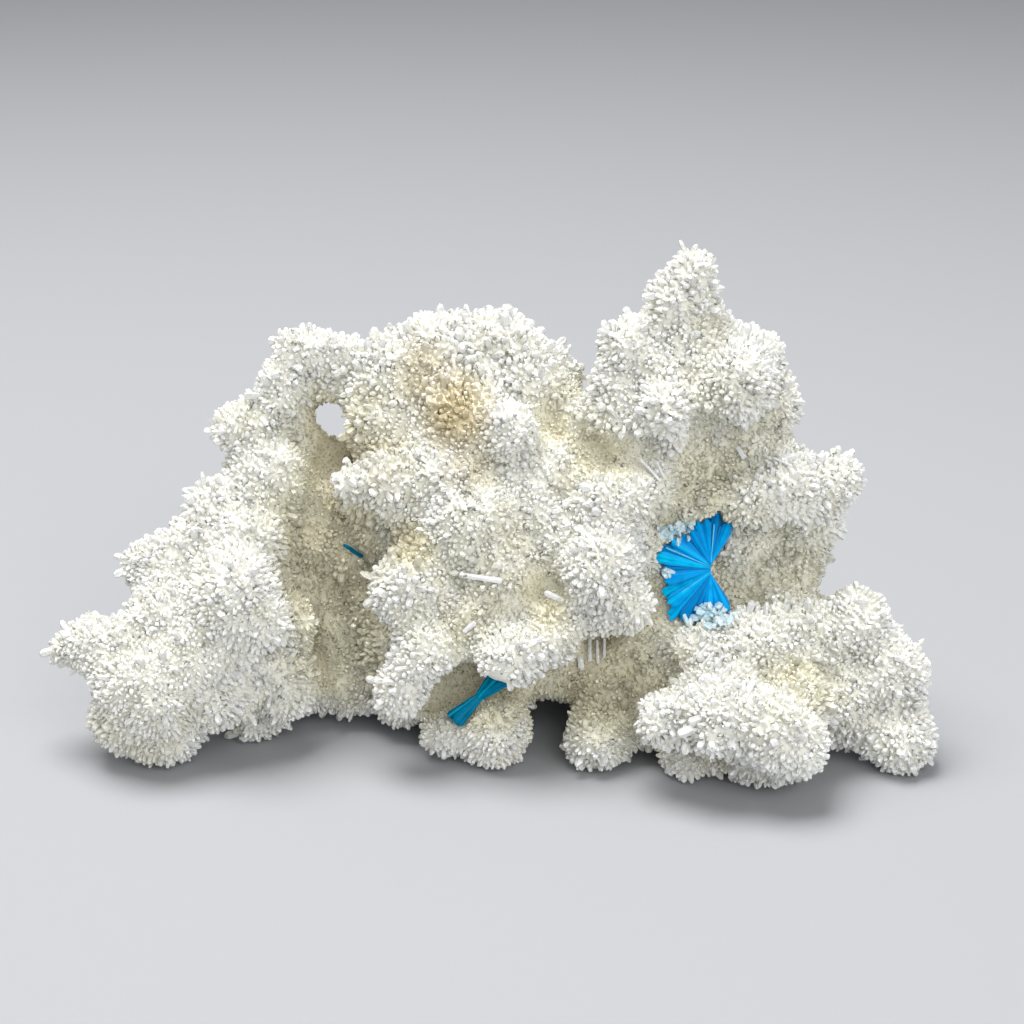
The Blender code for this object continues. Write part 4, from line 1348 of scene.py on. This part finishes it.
# %% The skin's marks
skin_corners = corners_of(body.data)
skin_marks = {
    "cream_and_shade": cream_and_shade_of(skin_corners, skin_knob),
    "stain": field(skin_corners, STAIN_PLACES),
}
for mark, values in skin_marks.items():
    body.data.attributes.new(mark, "FLOAT", "POINT").data.foreach_set("value", values)
body.data.materials.clear()
body.data.materials.append(skin_look)
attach(body, "root")
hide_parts("stilbite_cluster")

# %% [markdown]
# The crust is milky. The larger points that stand out of it are clear, so they are one
# piece of their own with a glassier material.

# %% Crystals of each group of knobs
def nearest_group(points):
    best = np.full(len(points), np.inf)
    group = np.zeros(len(points), dtype=int)
    for number, (_, knobs) in enumerate(KNOBS.values()):
        for x, y, z, radius in knobs:
            gap = np.linalg.norm(points - np.array((x, y, z)), axis=1) - radius
            closer = gap < best
            best[closer] = gap[closer]
            group[closer] = number
    return group


def crystals(name, templates, look, rows, kinds):
    piece = crystal_object(
        name,
        "stilbite",
        look,
        *grow(
            templates,
            roots[rows],
            [axis[rows] for axis in axes],
            [widths[rows], thicknesses[rows], heights[rows]],
            kinds[rows],
            (tints[rows], cream_and_shade[rows], stain[rows]),
        ),
    )
    print(name, len(rows), "crystals", len(piece.data.polygons), "triangles")
    return len(piece.data.polygons)


groups = nearest_group(places)
total = crystals("clear_points", POINT, point_look, np.flatnonzero(large & clear), kinds % 2)
for number, group_name in enumerate(KNOBS):
    rows = np.flatnonzero((groups == number) & clear & ~large)
    name = "crystals_on_" + group_name.replace(" ", "_")
    total += crystals(name, STUBBY + GRAIN, crystal_look, rows, kinds)
print("triangles of all crystals", total)

# %% [markdown]
# A few long clear laths lie on the crust, and small bluish ones lean over the half
# rosette's edge. They are placed as seen from the front: across and up in the picture, and
# as deep as whatever lies there.

# %% Places as seen from the front
RIGHT = np.array((1.0, 0.0, 0.0))
BACK = np.array(back_to_camera)
UP = np.cross(BACK, RIGHT)

fan_tree = tree_of(fan)


def seen_place(x, height):
    """The nearest point of the skin or the half rosette at a place in the picture."""
    eye = np.array(camera.location) / MM
    sight = RIGHT * (x - CAMERA_TARGET.x / MM) + UP * height - BACK * CAMERA_DISTANCE / MM
    sight = unit(sight[None, :])[0]
    hits = [tree.ray_cast(Vector(eye), Vector(sight))[3] for tree in (skin_tree, fan_tree)]
    return eye + sight * min(hit for hit in hits if hit is not None)


def seen_direction(angle, lean):
    """A direction from its angle in the picture and its lean towards the viewer."""
    angle, lean = math.radians(angle), math.radians(lean)
    flat = RIGHT * math.cos(angle) + UP * math.sin(angle)
    return flat * math.cos(lean) + BACK * math.sin(lean)


# %% Long laths
# x and height of the middle, angle, length and width
LATHS = [
    (-1.3, -8.7, -8.0, 5.6, 1.05),
    (8.9, -11.4, 155.0, 4.0, 1.15),
    (-2.8, -15.2, 40.0, 2.0, 0.9),
    (5.8, -17.1, 25.0, 2.6, 0.8),
    (13.1, -18.3, -90.0, 3.0, 0.65),
    (14.1, -18.5, -88.0, 3.2, 0.6),
    (15.0, -18.0, -92.0, 2.8, 0.55),
    (11.9, -20.0, -85.0, 1.8, 1.2),
    (27.7, -18.7, 48.0, 3.4, 0.7),
    (28.5, -19.6, 50.0, 3.0, 0.6),
    (29.6, -20.1, 45.0, 3.2, 0.6),
    (30.6, -21.2, 42.0, 3.0, 0.6),
    (32.3, -22.3, 40.0, 3.0, 0.6),
    (20.8, 5.8, -50.0, 3.2, 0.5),
    (21.6, 5.0, -50.0, 2.6, 0.45),
    (22.4, 5.6, -65.0, 2.2, 0.45),
    (33.1, 7.8, -60.0, 1.8, 1.0),
    (39.4, 7.2, 15.0, 2.2, 1.3),
    (38.6, 6.6, -25.0, 2.6, 0.4),
]
LATH_LIFT = 0.9
LATH_LEAN = 14.0
LATH_WIDTH = 0.8
LATH_THICKNESS = 0.5

lath_along = np.array([seen_direction(angle, LATH_LEAN) for _, _, angle, _, _ in LATHS])
lath_middles = np.array([seen_place(x, height) + BACK * LATH_LIFT for x, height, _, _, _ in LATHS])
lath_lengths = np.array([length for _, _, _, length, _ in LATHS])
lath_widths = np.array([width for _, _, _, _, width in LATHS])
lath_across = unit(np.cross(lath_along, BACK))
count = len(LATHS)
crystal_object(
    "stilbite_long_laths",
    "stilbite",
    lath_look,
    *grow(
        LONG,
        lath_middles - lath_along * lath_lengths[:, None] / 2,
        (lath_across, np.cross(lath_along, lath_across), lath_along),
        (lath_widths * LATH_WIDTH, lath_widths * LATH_THICKNESS, lath_lengths),
        np.arange(count) % len(LONG),
        (np.full(count, 1.0), np.zeros(count), np.zeros(count)),
    ),
)
print("long laths", count)

# %% Bluish crystals on the half rosette's edges
# x and height of the middle, reach to the sides and up, and how many
BLUISH_PATCHES = [
    ((29.4, -13.7), (2.4, 1.2), 90),
    ((23.2, -7.8), (0.5, 0.4), 5),
    ((24.6, -2.4), (1.8, 1.1), 26),
]
BLUISH_SIZE = (0.7, 1.2)
BLUISH_LENGTH = (0.9, 1.7)
BLUISH_THICKNESS = 0.7
BLUISH_SPREAD = 0.5
BLUISH_TILT = 0.45
BLUISH_DROOP = 0.3
BLUISH_LIFT = 0.3

bluish_rng = np.random.default_rng(8)
spots = []
for middle, reach, count in BLUISH_PATCHES:
    for _ in range(count):
        spots.append(np.array(middle) + bluish_rng.normal(0.0, BLUISH_SPREAD, 2) * reach)
bluish_places = np.array([seen_place(*spot) for spot in spots]) + BACK * BLUISH_LIFT
count = len(spots)
bluish_lean = np.tile(BACK - UP * BLUISH_DROOP, (count, 1))
bluish_axes = crystal_axes(bluish_lean, BLUISH_TILT, bluish_rng)
bluish_widths = bluish_rng.uniform(*BLUISH_SIZE, count)
crystal_object(
    "stilbite_on_the_fan",
    "stilbite",
    bluish_look,
    *grow(
        STUBBY,
        bluish_places,
        bluish_axes,
        (
            bluish_widths,
            bluish_widths * BLUISH_THICKNESS,
            bluish_rng.uniform(*BLUISH_LENGTH, count),
        ),
        bluish_rng.integers(0, len(STUBBY), count),
        (bluish_rng.random(count), np.zeros(count), np.zeros(count)),
    ),
)
print("bluish crystals", count)
